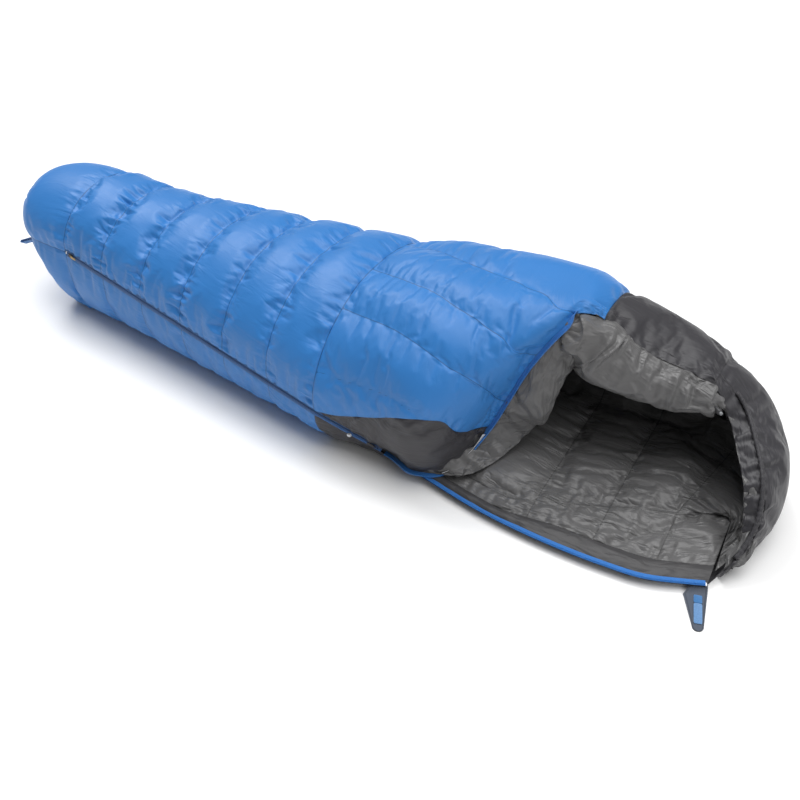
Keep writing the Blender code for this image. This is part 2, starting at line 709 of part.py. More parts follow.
def rim_trim():
    """The hood's tunnel and drawcord, the neck baffle, the zip's draft tube and the collar's tail."""
    def beside(station, v, lift):
        return hood(station, v) + normal(hood, station, max(v, 0.01), 1.5) * lift

    run = [beside(s, 0.30, 0.0098) for s in between(1.975, 2.44, 18)]
    add_object("drawcord_tunnel", annulus(run, 0.0070, 0.0034), CHARCOAL)
    add_object("hood_drawcord", tube(run, 0.0022, 6), CHARCOAL)
    neck, thick = [], []
    for s in between(NECK_START, HOOD_START - 0.03, 8):
        drop = 0.072 - 0.028 * (s - NECK_START) / (HOOD_START - NECK_START)
        neck.append(upper(s, 0.0) + drop * np.array([0.05, -0.25, -1.0]))
        thick.append(0.70 * drop)
    add_object("neck_baffle", tube(neck, thick, 12), GREY)
    draft = []
    for s in between(SEAM_ONE + 0.05, ZIP_SPLIT - 0.06, 14):
        point, _, n = zip_frame(EDGE, s)
        draft.append(point - n * (QUILT + 0.014))
    add_object("zip_draft_tube", tube(draft, 0.0095, 8), GREY)
    top, low = np.array([2.030, -0.060, 0.125]), np.array([2.048, -0.120, 0.050])
    middle = (top + low) / 2 + np.array([-0.004, 0, 0])
    add_object("collar_tail", tube([top, middle, low], 0.012, 8, 0.5), GREY)


def cord_lock():
    """The spring lock that holds the hood's drawcord at the far end of its tunnel, and its button."""
    centre, along = np.array([1.952, 0.060, 0.262]), np.array([0.8, -0.6, 0.0])
    barrel = annulus([centre - along * 0.010, centre, centre + along * 0.010], 0.0068, 0.0044, 12)
    add_object("cord_lock_body", barrel, CHARCOAL, 0.4)
    press = joint_empty("cord_lock_press", centre)
    button = tube([centre + along * 0.002, centre + along * 0.009, centre + along * 0.016], 0.0039, 12)
    add_object("cord_lock_button", button, PALE, 0.4, parent=press)


def closure_tab():
    """The tapered tab at the zip's top corner with its two hook-and-loop patches, flat on the ground."""
    root_a, root_b = np.array([2.027, -0.262, 0.0]), np.array([2.074, -0.238, 0.0])
    tip, radius = np.array([2.081, -0.331, 0.0]), 0.0125
    pivot = joint_empty("closure_tab_hinge", (root_a + root_b) / 2)
    outline = [root_b, root_a]
    start = math.atan2(-0.30, -1.0)
    for k in range(9):
        angle = start + math.pi * 1.02 * k / 8
        outline.append(tip + radius * np.array([math.cos(angle), math.sin(angle), 0.0]))
    tab = extruded(outline, 0.0, 0.0024)
    add_object("closure_tab", tab, CHARCOAL, 0.8, parent=pivot)
    along = tip - (root_a * 0.40 + root_b * 0.60)
    along = along / np.linalg.norm(along)
    side = np.array([-along[1], along[0], 0.0])
    up = np.array([0.0, 0.0, 1.0])
    first = root_a * 0.40 + root_b * 0.60 + np.array([0, 0, 0.0033])
    patches = ("hook_patch", 0.004, 0.026, BLUE_DEEP), ("loop_patch", 0.0268, 0.082, BLUE)
    for name, low, high, colour in patches:
        centre = first + along * (low + high) / 2
        patch = box(centre, (along, side, up), (high - low, 0.019, 0.0010))
        add_object(name, patch, colour, 0.9, parent=pivot)


def extruded(outline, low, high):
    made = bmesh.new()
    rings = []
    for z in (low, high):
        rings.append([made.verts.new(world((p[0], p[1], z))) for p in outline])
    join_loops(made, rings)
    made.faces.new(rings[0])
    made.faces.new(rings[1][::-1])
    return made


def foot_loop():
    """The webbing loop that the bag hangs from, sewn to the foot end beside the zip."""
    root, side = np.array([-0.034, -0.140, 0.212]), np.array([0.35, -0.60, 0.72])
    out = np.array([-0.90, -0.06, -0.43])
    out = out / np.linalg.norm(out)
    side = side - out * (side @ out)
    side = side / np.linalg.norm(side)
    thick = np.cross(out, side)
    pivot = joint_empty("foot_loop_hinge", root)
    inner, outer = [], []
    for k in range(13):
        angle = math.pi * (k / 12 - 0.5)
        for edge, half in ((inner, 0.0022), (outer, 0.0036)):
            reach = 0.056 + half * math.cos(angle) if 0 < k < 12 else 0.0
            edge.append(root + out * reach + thick * half * np.sign(k - 6))
    strips = []
    for edge in (outer, inner):
        strips.append([[p - side * 0.0085, p + side * 0.0085] for p in edge])
    add_object("foot_loop", slab(*strips), BLUE, 0.7, parent=pivot)


def clear_scene():
    for made in list(bpy.data.objects):
        bpy.data.objects.remove(made, do_unlink=True)


def main():
    clear_scene()
    leg_chambers()
    footbox()
    chest()
    fold = joint_empty("flap_fold", FLAP_HINGE[0])
    flap(fold)
    torso_and_head()
    linings()
    zips(fold)
    slider("lower", 0.166, 1, BRASS)
    slider("upper", ZIP_SPLIT - 0.014, -1, BLUE_DEEP)
    stops_and_stud()
    rim_trim()
    cord_lock()
    closure_tab()
    foot_loop()


main()
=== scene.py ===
"""Looks for the mummy sleeping bag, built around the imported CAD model.

The shell and the lining are sheets over the same rails as the CAD quilts. Each sheet is cut
with some spare cloth, held at its seams, and blown up by Blender's Cloth, so that the down
chambers swell and the spare cloth gathers into puckers beside the stitching.
"""

import math

import bmesh
import bpy
import numpy as np
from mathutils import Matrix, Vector


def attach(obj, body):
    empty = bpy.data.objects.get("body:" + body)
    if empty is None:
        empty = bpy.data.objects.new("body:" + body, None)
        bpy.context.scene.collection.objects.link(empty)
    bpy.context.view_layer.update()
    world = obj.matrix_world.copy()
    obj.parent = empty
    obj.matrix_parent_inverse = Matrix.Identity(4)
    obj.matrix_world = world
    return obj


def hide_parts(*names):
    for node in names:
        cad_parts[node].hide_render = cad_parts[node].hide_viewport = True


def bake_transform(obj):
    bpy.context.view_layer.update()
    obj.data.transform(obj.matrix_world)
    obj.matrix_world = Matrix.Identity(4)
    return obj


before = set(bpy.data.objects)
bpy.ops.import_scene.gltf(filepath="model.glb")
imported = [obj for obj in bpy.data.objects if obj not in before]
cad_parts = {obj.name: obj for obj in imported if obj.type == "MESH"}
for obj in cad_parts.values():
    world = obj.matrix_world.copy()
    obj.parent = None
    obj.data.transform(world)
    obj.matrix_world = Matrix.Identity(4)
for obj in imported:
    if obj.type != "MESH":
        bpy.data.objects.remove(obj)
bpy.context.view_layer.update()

# The CAD's driving dimensions, in metres
CENTRE_X = 1.0356  # from the foot end of the rails to the middle of the bag
SEAM_ONE = 0.141
CHAMBER = 0.156
CHAMBERS = 6
SEAM_LAST = SEAM_ONE + CHAMBERS * CHAMBER
SQUARENESS = 0.85
HIGHEST = 0.437  # above this, the swelling is pressed flatter
ZIP_SPLIT = 1.24
SHOULDER = 1.655
HOOD_START = 1.927
HOOD_END = 2.47
FLAP_CORNER = 1.600
BACK_SEAMS = (1.30, 1.644, 1.80)  # cross seams of the charcoal back

# Rails: station, then the point or the values there
EDGE = [
    (0.141, 0.141, -0.1760, 0.2400), (0.4, 0.4, -0.2081, 0.2110), (0.75, 0.75, -0.2515, 0.1717),
    (1.05, 1.05, -0.2887, 0.1380), (1.077, 1.077, -0.2920, 0.1350), (1.1, 1.1, -0.2847, 0.1220),
    (1.16, 1.16, -0.2655, 0.0882),
    (1.2, 1.2, -0.2528, 0.0656), (1.24, 1.24, -0.240, 0.043), (1.25, 1.25, -0.2368, 0.0374),
    (1.31, 1.305, -0.243, 0.040), (1.36, 1.350, -0.242, 0.037), (1.4, 1.402, -0.212, 0.040),
    (1.425, 1.424, -0.172, 0.062), (1.45, 1.455, -0.128, 0.125), (1.49, 1.483, -0.098, 0.200),
    (1.53, 1.520, -0.062, 0.305), (1.565, 1.565, -0.015, 0.390), (1.6, 1.600, 0.022, 0.424),
    (1.63, 1.635, 0.052, 0.418), (1.69, 1.690, 0.066, 0.382), (1.76, 1.760, 0.077, 0.345),
    (1.86, 1.860, 0.090, 0.318), (1.927, 1.927, 0.091, 0.298), (2.0, 1.974, 0.088, 0.235),
    (2.1, 2.020, 0.028, 0.195), (2.2, 2.062, -0.042, 0.162), (2.3, 2.086, -0.088, 0.105),
    (2.4, 2.096, -0.125, 0.060), (2.48, 2.083, -0.182, 0.030), (2.52, 2.066, -0.218, 0.016),
]
CROWN = [
    (0.141, 0.141, 0.0, 0.385), (0.3, 0.3, 0.0, 0.372), (0.6, 0.6, 0.0, 0.372), (0.9, 0.9, 0.0, 0.385),
    (1.077, 1.077, 0.0, 0.395), (1.35, 1.35, 0.02, 0.418), (1.5, 1.5, 0.05, 0.428),
    (1.6, 1.6, 0.08, 0.424), (1.69, 1.69, 0.12, 0.395), (1.76, 1.76, 0.14, 0.365),
    (1.86, 1.86, 0.155, 0.335), (1.927, 1.927, 0.155, 0.305), (2.0, 2.005, 0.145, 0.255),
    (2.1, 2.070, 0.072, 0.215), (2.2, 2.112, -0.005, 0.180), (2.3, 2.132, -0.070, 0.125),
    (2.4, 2.120, -0.135, 0.075), (2.48, 2.092, -0.187, 0.036), (2.52, 2.068, -0.217, 0.018),
]
WIDE = [
    (0.141, 0.141, 0.188, 0.190), (0.3, 0.3, 0.196, 0.186), (0.6, 0.6, 0.238, 0.186),
    (0.9, 0.9, 0.282, 0.190), (1.077, 1.077, 0.305, 0.190), (1.35, 1.35, 0.330, 0.185),
    (1.6, 1.6, 0.335, 0.170), (1.76, 1.76, 0.335, 0.155), (1.927, 1.930, 0.312, 0.130),
    (2.0, 2.015, 0.275, 0.120), (2.1, 2.092, 0.186, 0.110), (2.2, 2.134, 0.080, 0.090),
    (2.3, 2.138, -0.014, 0.066), (2.4, 2.116, -0.090, 0.045), (2.48, 2.092, -0.152, 0.028),
    (2.52, 2.070, -0.215, 0.014),
]
BULGE = [
    (0.141, -0.188, 0.300), (0.6, -0.245, 0.265), (1.077, -0.325, 0.250), (1.16, -0.345, 0.230),
    (1.24, -0.360, 0.220), (1.36, -0.370, 0.210), (1.425, -0.310, 0.220), (1.49, -0.200, 0.310),
    (1.53, -0.130, 0.370), (1.565, -0.060, 0.420), (1.6, 0.030, 0.432),
]
BED = [
    (1.24, 1.24, -0.240, 0.030), (1.35, 1.352, -0.253, 0.024), (1.53, 1.533, -0.283, 0.020),
    (1.72, 1.722, -0.295, 0.020), (1.84, 1.843, -0.291, 0.020), (1.93, 1.935, -0.280, 0.020),
    (2.02, 2.02, -0.246, 0.018), (2.066, 2.066, -0.222, 0.014),
]
# Seams of the chest, as station and v, from the last cross seam to the flap's edge
GUSSET_SEAM = [(1.077, 0.0), (1.09, 0.012), (1.122, 0.038), (1.202, 0.108), (1.306, 0.165), (1.375, 0.178),
               (1.411, 0.160), (1.444, 0.055), (1.455, 0.0)]
LOW_SEAM = [(1.077, 0.160), (1.097, 0.166), (1.162, 0.186), (1.226, 0.201), (1.299, 0.208), (1.360, 0.196)]
MIDDLE_SEAM = [(1.077, 0.348), (1.175, 0.344), (1.245, 0.339), (1.33, 0.324), (1.386, 0.296), (1.438, 0.248),
               (1.480, 0.125), (1.493, 0.0)]
HIGH_SEAM = [(1.077, 0.49), (1.199, 0.459), (1.282, 0.444), (1.368, 0.414), (1.431, 0.376), (1.491, 0.290),
             (1.530, 0.140), (1.541, 0.0)]
FOLD_SEAM = [(1.077, 0.66), (1.17, 0.612), (1.271, 0.567), (1.392, 0.524), (1.47, 0.497), (1.537, 0.441),
             (1.585, 0.21), (1.60, 0.0)]


# Curves and surfaces, on arrays of stations and v


def rail(table, station):
    """The values at each station of a smooth curve through a rail's rows."""
    table = np.array(table)
    station = np.clip(np.asarray(station, float), table[0, 0], table[-1, 0])
    return smooth_through(table[:, 0], table[:, 1:], station)


def smooth_through(knots, values, at):
    """A cubic through values at knots."""
    slopes = np.gradient(values, knots, axis=0)
    i = np.clip(np.searchsorted(knots, at) - 1, 0, len(knots) - 2)
    span = (knots[i + 1] - knots[i])[..., None]
    u = (at - knots[i])[..., None] / span
    start = (2 * u**3 - 3 * u**2 + 1) * values[i] + (u**3 - 2 * u**2 + u) * span * slopes[i]
    end = (3 * u**2 - 2 * u**3) * values[i + 1] + (u**3 - u**2) * span * slopes[i + 1]
    return start + end


def mix(a, b, t):
    return a + (b - a) * t


def bezier(a, b, c, d, t):
    return a * (1 - t) ** 3 + 3 * b * t * (1 - t) ** 2 + 3 * c * t * t * (1 - t) + d * t**3


def quarter(start, end, t):
    """A quarter of a rounded square from start, where it is level, to end, where it is upright."""
    across = np.sin(np.clip(t, 0, 1) * math.pi / 2) ** SQUARENESS
    rise = np.cos(np.clip(t, 0, 1) * math.pi / 2).clip(0, 1) ** SQUARENESS
    level = mix(start, end, across)
    level[..., 2] = mix(end[..., 2], start[..., 2], rise[..., 0])
    return level


def stack(*columns):
    return np.stack(np.broadcast_arrays(*columns), -1)


def upper(station, v):
    """The upper shell: v runs from the zip edge (0) over the crown (0.5) to the widest line (1)."""
    station, v = np.broadcast_arrays(np.asarray(station, float), np.asarray(v, float))
    edge, crown, wide = rail(EDGE, station), rail(CROWN, station), rail(WIDE, station)
    bulge = rail(BULGE, station)
    y, z = bulge[..., 0], np.maximum(bulge[..., 1], edge[..., 2] + 0.01)
    near_low = stack(edge[..., 0], y, z)
    near_high = stack((edge[..., 0] + crown[..., 0]) / 2, mix(crown[..., 1], y, 0.55), crown[..., 2])
    far_low = mix(edge, crown, 0.35)
    far_low[..., 2] += 0.06 * np.minimum(crown[..., 2], 0.2)
    far_high = mix(crown, edge, 0.45)
    far_high[..., 2] = crown[..., 2]
    near = (station < FLAP_CORNER)[..., None]
    t = v[..., None]
    rise = bezier(edge, np.where(near, near_low, far_low), np.where(near, near_high, far_high), crown, 2 * t)
    return np.where(t > 0.5, quarter(crown, wide, 2 * t - 1), rise)


def ground_edges(station):
    """Where the back quilt meets the ground, on its near and its far side."""
    wide = rail(WIDE, station)[..., 1]
    closed = mix(-0.5 * wide, -0.205, np.clip((station - 1.0) / (ZIP_SPLIT - 1.0), 0, 1))
    near = np.where(station > ZIP_SPLIT, rail(BED, station)[..., 1] + 0.035, closed)
    return near, 0.62 * wide


def under(station, w):
    """The back quilt: w runs from the zip (0) along the ground (0.35 to 0.65) to the widest line (1)."""
    station, w = np.broadcast_arrays(np.asarray(station, float), np.asarray(w, float))
    near = np.where((station > ZIP_SPLIT)[..., None], rail(BED, station), rail(EDGE, station))
    wide = rail(WIDE, station)
    near_ground, far_ground = ground_edges(station)
    y, z = near[..., 1], near[..., 2]
    a, b = stack(station, y, z), stack(station, y - 0.10 * z, z * 0.45)
    c, d = stack(station, mix(near_ground, y, 0.5), 0.0), stack(station, near_ground, 0.0)
    side = bezier(a, b, c, d, np.clip(w / 0.35, 0, 1)[..., None])
    flat = stack(station, mix(near_ground, far_ground, (w - 0.35) / 0.30), 0.0)
    turn = np.clip((w - 0.65) / 0.35, 0, 1) * math.pi / 2
    across = np.sin(turn) ** SQUARENESS
    lift = 1 - np.cos(turn).clip(0, 1) ** SQUARENESS
    far = stack(station, mix(far_ground, wide[..., 1], across), wide[..., 2] * lift)
    w = w[..., None]
    return np.where(w < 0.35, side, np.where(w < 0.65, flat, far))


def hood(station, v):
    """The hood's wall: as the upper shell, then from the widest line (1) in to the ground (1.5)."""
    station, v = np.broadcast_arrays(np.asarray(station, float), np.asarray(v, float))
    wide = rail(WIDE, station)
    inward = np.array([1.96, 0.02, 0.0]) - wide
    inward[..., 2] = 0
    inward *= (0.35 * np.minimum(wide[..., 2], 0.1) / np.linalg.norm(inward, axis=-1))[..., None]
    turn = ((v - 1).clip(0, 1) * math.pi)[..., None]
    low = wide + inward * (1 - np.cos(turn))
    low[..., 2] = wide[..., 2] * (1 - np.sin(turn[..., 0]))
    return np.where(v[..., None] > 1, low, upper(station, np.minimum(v, 1)))


def normals(points):
    """Unit normals of a grid of points."""
    along, across = np.gradient(points, axis=0), np.gradient(points, axis=1)
    n = np.cross(along, across)
    return n / np.maximum(np.linalg.norm(n, axis=-1, keepdims=True), 1e-9)


def seam_curve(table, t):
    """A seam as a curve in station and v, evenly spaced along its length in metres."""
    table = np.array(table)
    fine = np.linspace(0, 1, 200)
    curve = smooth_through(np.linspace(0, 1, len(table)), table, fine)
    return columns_at(np.asarray(t), curve, upper(curve[:, 0], curve[:, 1].clip(0, 1)))


def path_length(path):
    """The length so far at each point of a path."""
    return np.concatenate([[0], np.cumsum(np.linalg.norm(np.diff(path, axis=0), axis=1))])


def columns_at(share, values, path):
    """Values along a path, at each share of its length."""
    run = path_length(path)
    return np.stack([np.interp(share * run[-1], run, column) for column in values.T], -1)


# Making meshes


def to_part(points):
    """Rail coordinates to the part's frame."""
    return points - np.array([CENTRE_X, 0.0, 0.0])


def noise_field(shape, cells, seed):
    """Smooth noise in -1..1 over a grid, from a coarse seeded grid of cells."""
    coarse = np.random.default_rng(seed).uniform(-1, 1, (cells[0] + 3, cells[1] + 3))
    u = np.linspace(0, cells[0], shape[0])
    v = np.linspace(0, cells[1], shape[1])
    return bend(bend(coarse, u).T, v).T


def bend(rows, at):
    """Catmull-Rom interpolation down the rows of an array."""
    i = np.minimum(at.astype(int), len(rows) - 4)
    t = (at - i)[:, None]
    a, b, c, d = rows[i], rows[i + 1], rows[i + 2], rows[i + 3]
    return 0.5 * (2 * b + (c - a) * t + (2 * a - 5 * b + 4 * c - d) * t**2 + (3 * b - a - 3 * c + d) * t**3)


def linked(name, data):
    """A new object in the scene."""
    made = bpy.data.objects.new(name, data)
    bpy.context.scene.collection.objects.link(made)
    return made


def grid_mesh(name, points, wrap=False):
    """An object from a grid of points, with quads between them."""
    rows, columns = points.shape[:2]
    index = np.arange(rows * columns).reshape(rows, columns)
    if wrap:
        index = np.concatenate([index, index[:, :1]], axis=1)
    quads = np.stack([index[:-1, :-1], index[1:, :-1], index[1:, 1:], index[:-1, 1:]], -1).reshape(-1, 4)
    mesh = bpy.data.meshes.new(name)
    mesh.from_pydata(to_part(points).reshape(-1, 3).tolist(), [], quads.tolist())
    mesh.shade_smooth()
    made = linked(name, mesh)
    return made


def points_of(piece):
    co = np.zeros(len(piece.data.vertices) * 3, np.float32)
    piece.data.vertices.foreach_get("co", co)
    return co.reshape(-1, 3).astype(float)


def set_points(piece, points):
    piece.data.vertices.foreach_set("co", np.ascontiguousarray(points, np.float32).reshape(-1))
    piece.data.update()


CLOTH_FRAMES = 16
STIFFNESS = 20.0


def blow_up(piece, held, pressure, spare, cap):
    """Runs Cloth on a piece: held vertices stay, and the rest swells with its spare cloth."""
    start = points_of(piece)
    pins = piece.vertex_groups.new(name="held")
    pins.add([int(i) for i in np.flatnonzero(held)], 1.0, "REPLACE")
    cloth = piece.modifiers.new("cloth", "CLOTH")
    set_ = cloth.settings
    set_.quality = 5
    set_.mass = 0.08
    set_.tension_stiffness = set_.compression_stiffness = STIFFNESS
    set_.shear_stiffness = STIFFNESS * 0.25
    set_.bending_stiffness = 0.05
    set_.tension_damping = set_.compression_damping = set_.shear_damping = 2.0
    set_.air_damping = 2.0
    set_.vertex_group_mass = "held"
    set_.shrink_min = -spare
    set_.use_pressure = True
    set_.uniform_pressure_force = pressure
    set_.effector_weights.gravity = 0.0
    cloth.collision_settings.use_collision = False
    cloth.point_cache.frame_start = 1
    cloth.point_cache.frame_end = CLOTH_FRAMES
    for step in range(1, CLOTH_FRAMES + 1):
        bpy.context.scene.frame_set(step)
    evaluated = piece.evaluated_get(bpy.context.evaluated_depsgraph_get())
    moved = np.zeros(len(start) * 3, np.float32)
    evaluated.data.vertices.foreach_get("co", moved)
    piece.modifiers.remove(cloth)
    piece.vertex_groups.remove(pins)
    bpy.context.scene.frame_set(1)
    shift = moved.reshape(-1, 3) - start
    length = np.linalg.norm(shift, axis=1, keepdims=True)
    set_points(piece, start + shift * np.minimum(1, cap / np.maximum(length, 1e-9)))


def smoothstep(low, high, x):
    t = np.clip((x - low) / (high - low), 0, 1)
    return t * t * (3 - 2 * t)


def runs(points, axis):
    """Length so far along a grid's rows (axis 0) or columns (axis 1)."""
    step = np.linalg.norm(np.diff(points, axis=axis), axis=-1)
    pad = [(0, 0), (0, 0)]
    pad[axis] = (1, 0)
    return np.pad(np.cumsum(step, axis=axis), pad)


def seam_distance(points, rows, columns):
    """Distance of each point of a grid from its nearest seam row or seam column."""
    near = np.full(points.shape[:2], 9.0)
    for axis, lines in ((0, rows), (1, columns)):
        run = runs(points, axis)
        for k in lines:
            near = np.minimum(near, np.abs(run - run.take([k], axis)))
    return near


def puckers(points, axis, lines, seed, height, reach, wave):
    """Short folds that cross the seams of a grid, as heights."""
    distance = seam_distance(points, lines if axis == 0 else [], lines if axis == 1 else [])
    cells = [3, 3]
    cells[axis] = max(int(runs(points, axis).take(-1, axis).mean() / 0.07), 2)
    cells[1 - axis] = max(int(runs(points, 1 - axis).take(-1, 1 - axis).mean() / wave), 3)
    folds = noise_field(points.shape[:2], cells, seed)
    strength = 0.75 + 0.6 * noise_field(points.shape[:2], (8, 8), seed + 1)
    return height * folds * strength * np.exp(-((distance / reach) ** 2))


def dress(piece, points, distance=0.1):
    """Gives a piece its distances from the seams and its UVs."""
    seam_attribute(piece, np.broadcast_to(distance, points.shape[:2]))
    grid_uv(piece, points)


def seam_attribute(piece, distance):
    """Keeps each vertex's distance from its seam for the fabric's material."""
    layer = piece.data.attributes.new("seam", "FLOAT", "POINT")
    layer.data.foreach_set("value", np.minimum(distance, 0.2).astype(np.float32).ravel())


def grid_uv(piece, points):
    """UVs in metres of cloth, so that the weave keeps its scale."""
    flat = np.stack([runs(points, 0), runs(points, 1)], -1).reshape(-1, 2)
    corners = np.zeros(len(piece.data.loops), np.int32)
    piece.data.loops.foreach_get("vertex_index", corners)
    layer = piece.data.uv_layers.new(name="cloth")
    layer.data.foreach_set("uv", flat[corners].astype(np.float32).ravel())


def quilted(name, points, rows, columns, swell, pucker, seed, hold=None, strength=1.0, wave=0.013,
            reach=0.045, stitched=None):
    """A padded sheet from a grid: its seam rows and columns are held, and the rest of it swells.

    swell is the pressure, the share of spare cloth, and the furthest that a point may move.
    pucker is the height of the folds along the seam rows and along the seam columns.
    stitched is each point's distance from a seam that crosses the grid aslant.
    """
    held = np.zeros(points.shape[:2], bool)
    held[rows] = True
    held[:, columns] = True
    distance = seam_distance(points, rows, columns)
    if hold is not None:
        held |= hold
    if stitched is not None:
        held |= stitched < 0.0030
        distance = np.minimum(distance, stitched)
    lift = gathers(points, rows, columns, seed, pucker, reach, wave)
    shaped = points + normals(points) * (lift * strength * smoothstep(0, 0.007, distance) * ~held)[..., None]
    piece = grid_mesh(name, shaped)
    blow_up(piece, held.ravel(), *swell)
    swollen = points_of(piece).reshape(points.shape)
    pleats = 0.30 * gathers(points, rows, columns, seed + 20, pucker, reach * 0.62, wave * 0.62)
    swollen += normals(swollen) * (pleats * strength * smoothstep(0, 0.004, distance) * ~held)[..., None]
    set_points(piece, swollen.reshape(-1, 3))
    dress(piece, points, distance)
    return piece


def gathers(points, rows, columns, seed, heights, reach, wave):
    """The puckers beside a grid's seam rows and seam columns together."""
    lift = np.zeros(points.shape[:2])
    for axis, lines in ((0, rows), (1, columns)):
        if len(lines) > 0:
            lift += puckers(points, axis, lines, seed + 7 * axis, heights[axis], reach, wave)
    return lift


def finish_sheet(piece, paint, levels=1):
    """Keeps a sheet off the ground and below its height, gives it its fabric and smooths it."""
    points = points_of(piece)
    points[:, 2] = np.maximum(points[:, 2], 0.0004)
    over = np.maximum(points[:, 2] - HIGHEST, 0)
    points[:, 2] += 0.010 * np.tanh(over / 0.010) - over
    set_points(piece, points)
    piece.data.materials.append(paint)
    if levels:
        smooth = piece.modifiers.new("smooth", "SUBSURF")
        smooth.levels = smooth.render_levels = levels
        bpy.context.view_layer.update()
        graph = bpy.context.evaluated_depsgraph_get()
        mesh = bpy.data.meshes.new_from_object(piece.evaluated_get(graph))
        piece.modifiers.clear()
        piece.data = mesh
        mesh.shade_smooth()


def settle(piece, paint, slot, fill, *stands_for, bends=False):
    """Finishes a padded sheet, hides the CAD solids that it stands for, and lets it ride on the bag or bakes
    its transform.
    """
    finish_sheet(piece, paint)
    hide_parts(*stands_for)
    if bends:
        bend_with_flap(piece)
    else:
        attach(piece, "root")


def plain_sheet(name, points, paint):
    """A sheet with nothing in it, dressed and fixed to the bag. Its grid is turned to face out."""
    piece = grid_mesh(name, points[:, ::-1])
    dress(piece, points)
    finish_sheet(piece, paint, 0)
    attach(piece, "root")
    return piece


# The blue shell


def slit_v(station, surface, distance):
    """The v a short distance in from the zip's line."""
    return distance * 0.01 / np.linalg.norm(surface(station, 0.01) - surface(station, 0.0), axis=-1)


def leg_tops():
    per = 22
    stations = np.linspace(SEAM_ONE, SEAM_LAST, CHAMBERS * per + 1)[:, None]
    v = mix(slit_v(stations, upper, 0.006), 1.0, np.linspace(0, 1, 176)[None, :])
    points = upper(stations, v)
    piece = quilted("leg_quilt_top", points, np.arange(0, len(points), per), [0, -1], (9.0, 0.060, 0.030),
                    (0.0068, 0.0022), 11, wave=0.011, reach=0.042)
    settle(piece, BLUE, "shell_blue", 0.6, *[f"leg_chamber_{i + 1}" for i in range(CHAMBERS)])


def back_rows(start, end, count):
    """A grid over the back quilt, from the widest line round under the bag to the zip."""
    stations = np.linspace(start, end, count)[:, None]
    last = slit_v(stations, under_smooth, 0.006)
    far = np.concatenate([np.linspace(1.0, 0.65, 44), np.linspace(0.65, 0.35, 12)[1:-1]])
    near = mix(0.35, last, np.linspace(0, 1, 30)[None, :])
    w = np.concatenate([np.broadcast_to(far, (count, len(far))), near], axis=1)
    return under_smooth(stations, w)


def under_smooth(station, w):
    """The back quilt with its near edge passing smoothly from the closed zip to the open one."""
    station, w = np.broadcast_arrays(np.asarray(station, float), np.asarray(w, float))
    points = under(station, w)
    closed, opened = rail(EDGE, station), rail(BED, station)
    t = smoothstep(1.16, 1.32, station)[..., None]
    near = np.where((station > ZIP_SPLIT)[..., None], opened, closed)
    shift = (mix(closed, opened, t) - near) * (1 - smoothstep(0.0, 0.35, w))[..., None]
    shift[..., 0] = 0
    return points + shift


def flat_hold(points):
    """Where cloth lies on the ground and can't swell."""
    return points[..., 2] < 0.004


def leg_backs():
    per = 18
    points = back_rows(SEAM_ONE, SEAM_LAST, CHAMBERS * per + 1)
    piece = quilted("leg_quilt_back", points, np.arange(0, len(points), per), [0, -1], (5.0, 0.035, 0.016),
                    (0.0045, 0.0012), 23, hold=flat_hold(points))
    settle(piece, BLUE, "shell_blue", 0.6, *[f"back_chamber_{i + 1}" for i in range(CHAMBERS)])


def footbox():
    """Loops from the first seam that shrink towards a blunt toe, evenly spaced along the cloth."""
    over = upper(SEAM_ONE, np.linspace(0, 1, 100))
    back = under(SEAM_ONE, np.linspace(1, 0, 76)[1:])
    base = np.concatenate([over, back])
    fine = np.linspace(0, 0.999, 400)
    radius, forward = toe_profile(fine)
    run = np.concatenate([[0], np.cumsum(np.hypot(np.diff(radius) * 0.19, np.diff(forward) * 0.18))])
    t = np.interp(np.linspace(0, run[-1], 40), run, fine)
    radius, forward = toe_profile(t)
    middle = np.array([SEAM_ONE, 0.0, 0.19])
    points = middle + (base - middle)[None] * radius[:, None, None]
    reach = 0.125 + 0.115 * np.clip(points[..., 2] / 0.32, 0.0, 1.0) ** 1.5
    reach *= 1 - 0.28 * smoothstep(0.0, 0.19, points[..., 1])
    points[..., 0] = SEAM_ONE - reach * forward[:, None]
    points = points[:, ::-1]
    hold = flat_hold(points)
    hold[-1] = True
    piece = quilted("footbox_quilt", points, [0], [0, -1, 75], (4.0, 0.030, 0.011), (0.0075, 0.0025), 31,
                    hold=hold, reach=0.06)
    close_toe(piece, points.shape[1])
    settle(piece, BLUE, "shell_blue", 0.6, "footbox")


def close_toe(piece, count):
    """Closes the small ring that is left at the middle of the toe."""
    mesh = bmesh.new()
    mesh.from_mesh(piece.data)
    mesh.verts.ensure_lookup_table()
    face = mesh.faces.new(mesh.verts[-count:])
    face.smooth = True
    face.normal_update()
    if face.normal.x > 0:
        face.normal_flip()
    mesh.to_mesh(piece.data)
    mesh.free()


def toe_profile(t):
    """Radius and reach of the toe's loops, from the seam (0) to the toe (1)."""
    return np.cos(t * math.pi / 2).clip(0) ** 0.32, np.sin(t * math.pi / 2) ** 0.50


# The chest


def flap_frames(stations):
    """Points, inward and outward directions along the flap's edge; inward is towards the shell."""
    stations = np.asarray(stations, float)
    point = upper(stations, 0.0)
    t = unit(upper(stations + 0.002, 0.0) - upper(stations - 0.002, 0.0))
    n = unit(np.cross(t, upper(stations, 0.01) - point))
    return point, unit(np.cross(n, t)), n


def unit(vector):
    """A vector, or an array of them, scaled to length one."""
    return vector / np.maximum(np.linalg.norm(vector, axis=-1, keepdims=True), 1e-9)


def edge_way(station):
    """The direction in which the flap's edge and its zip stand out."""
    return unit(flap_frames(station)[2] + np.array([0.0, -0.10, 0.50]))


def edge_stand(station):
    """How far the flap's edge stands out from the rail, so that the zip shows beside the swollen shell."""
    station = np.asarray(station, float)
    out = 0.017 * smoothstep(1.25, 1.36, station) * smoothstep(1.605, 1.57, station)
    return edge_way(station) * out[..., None]


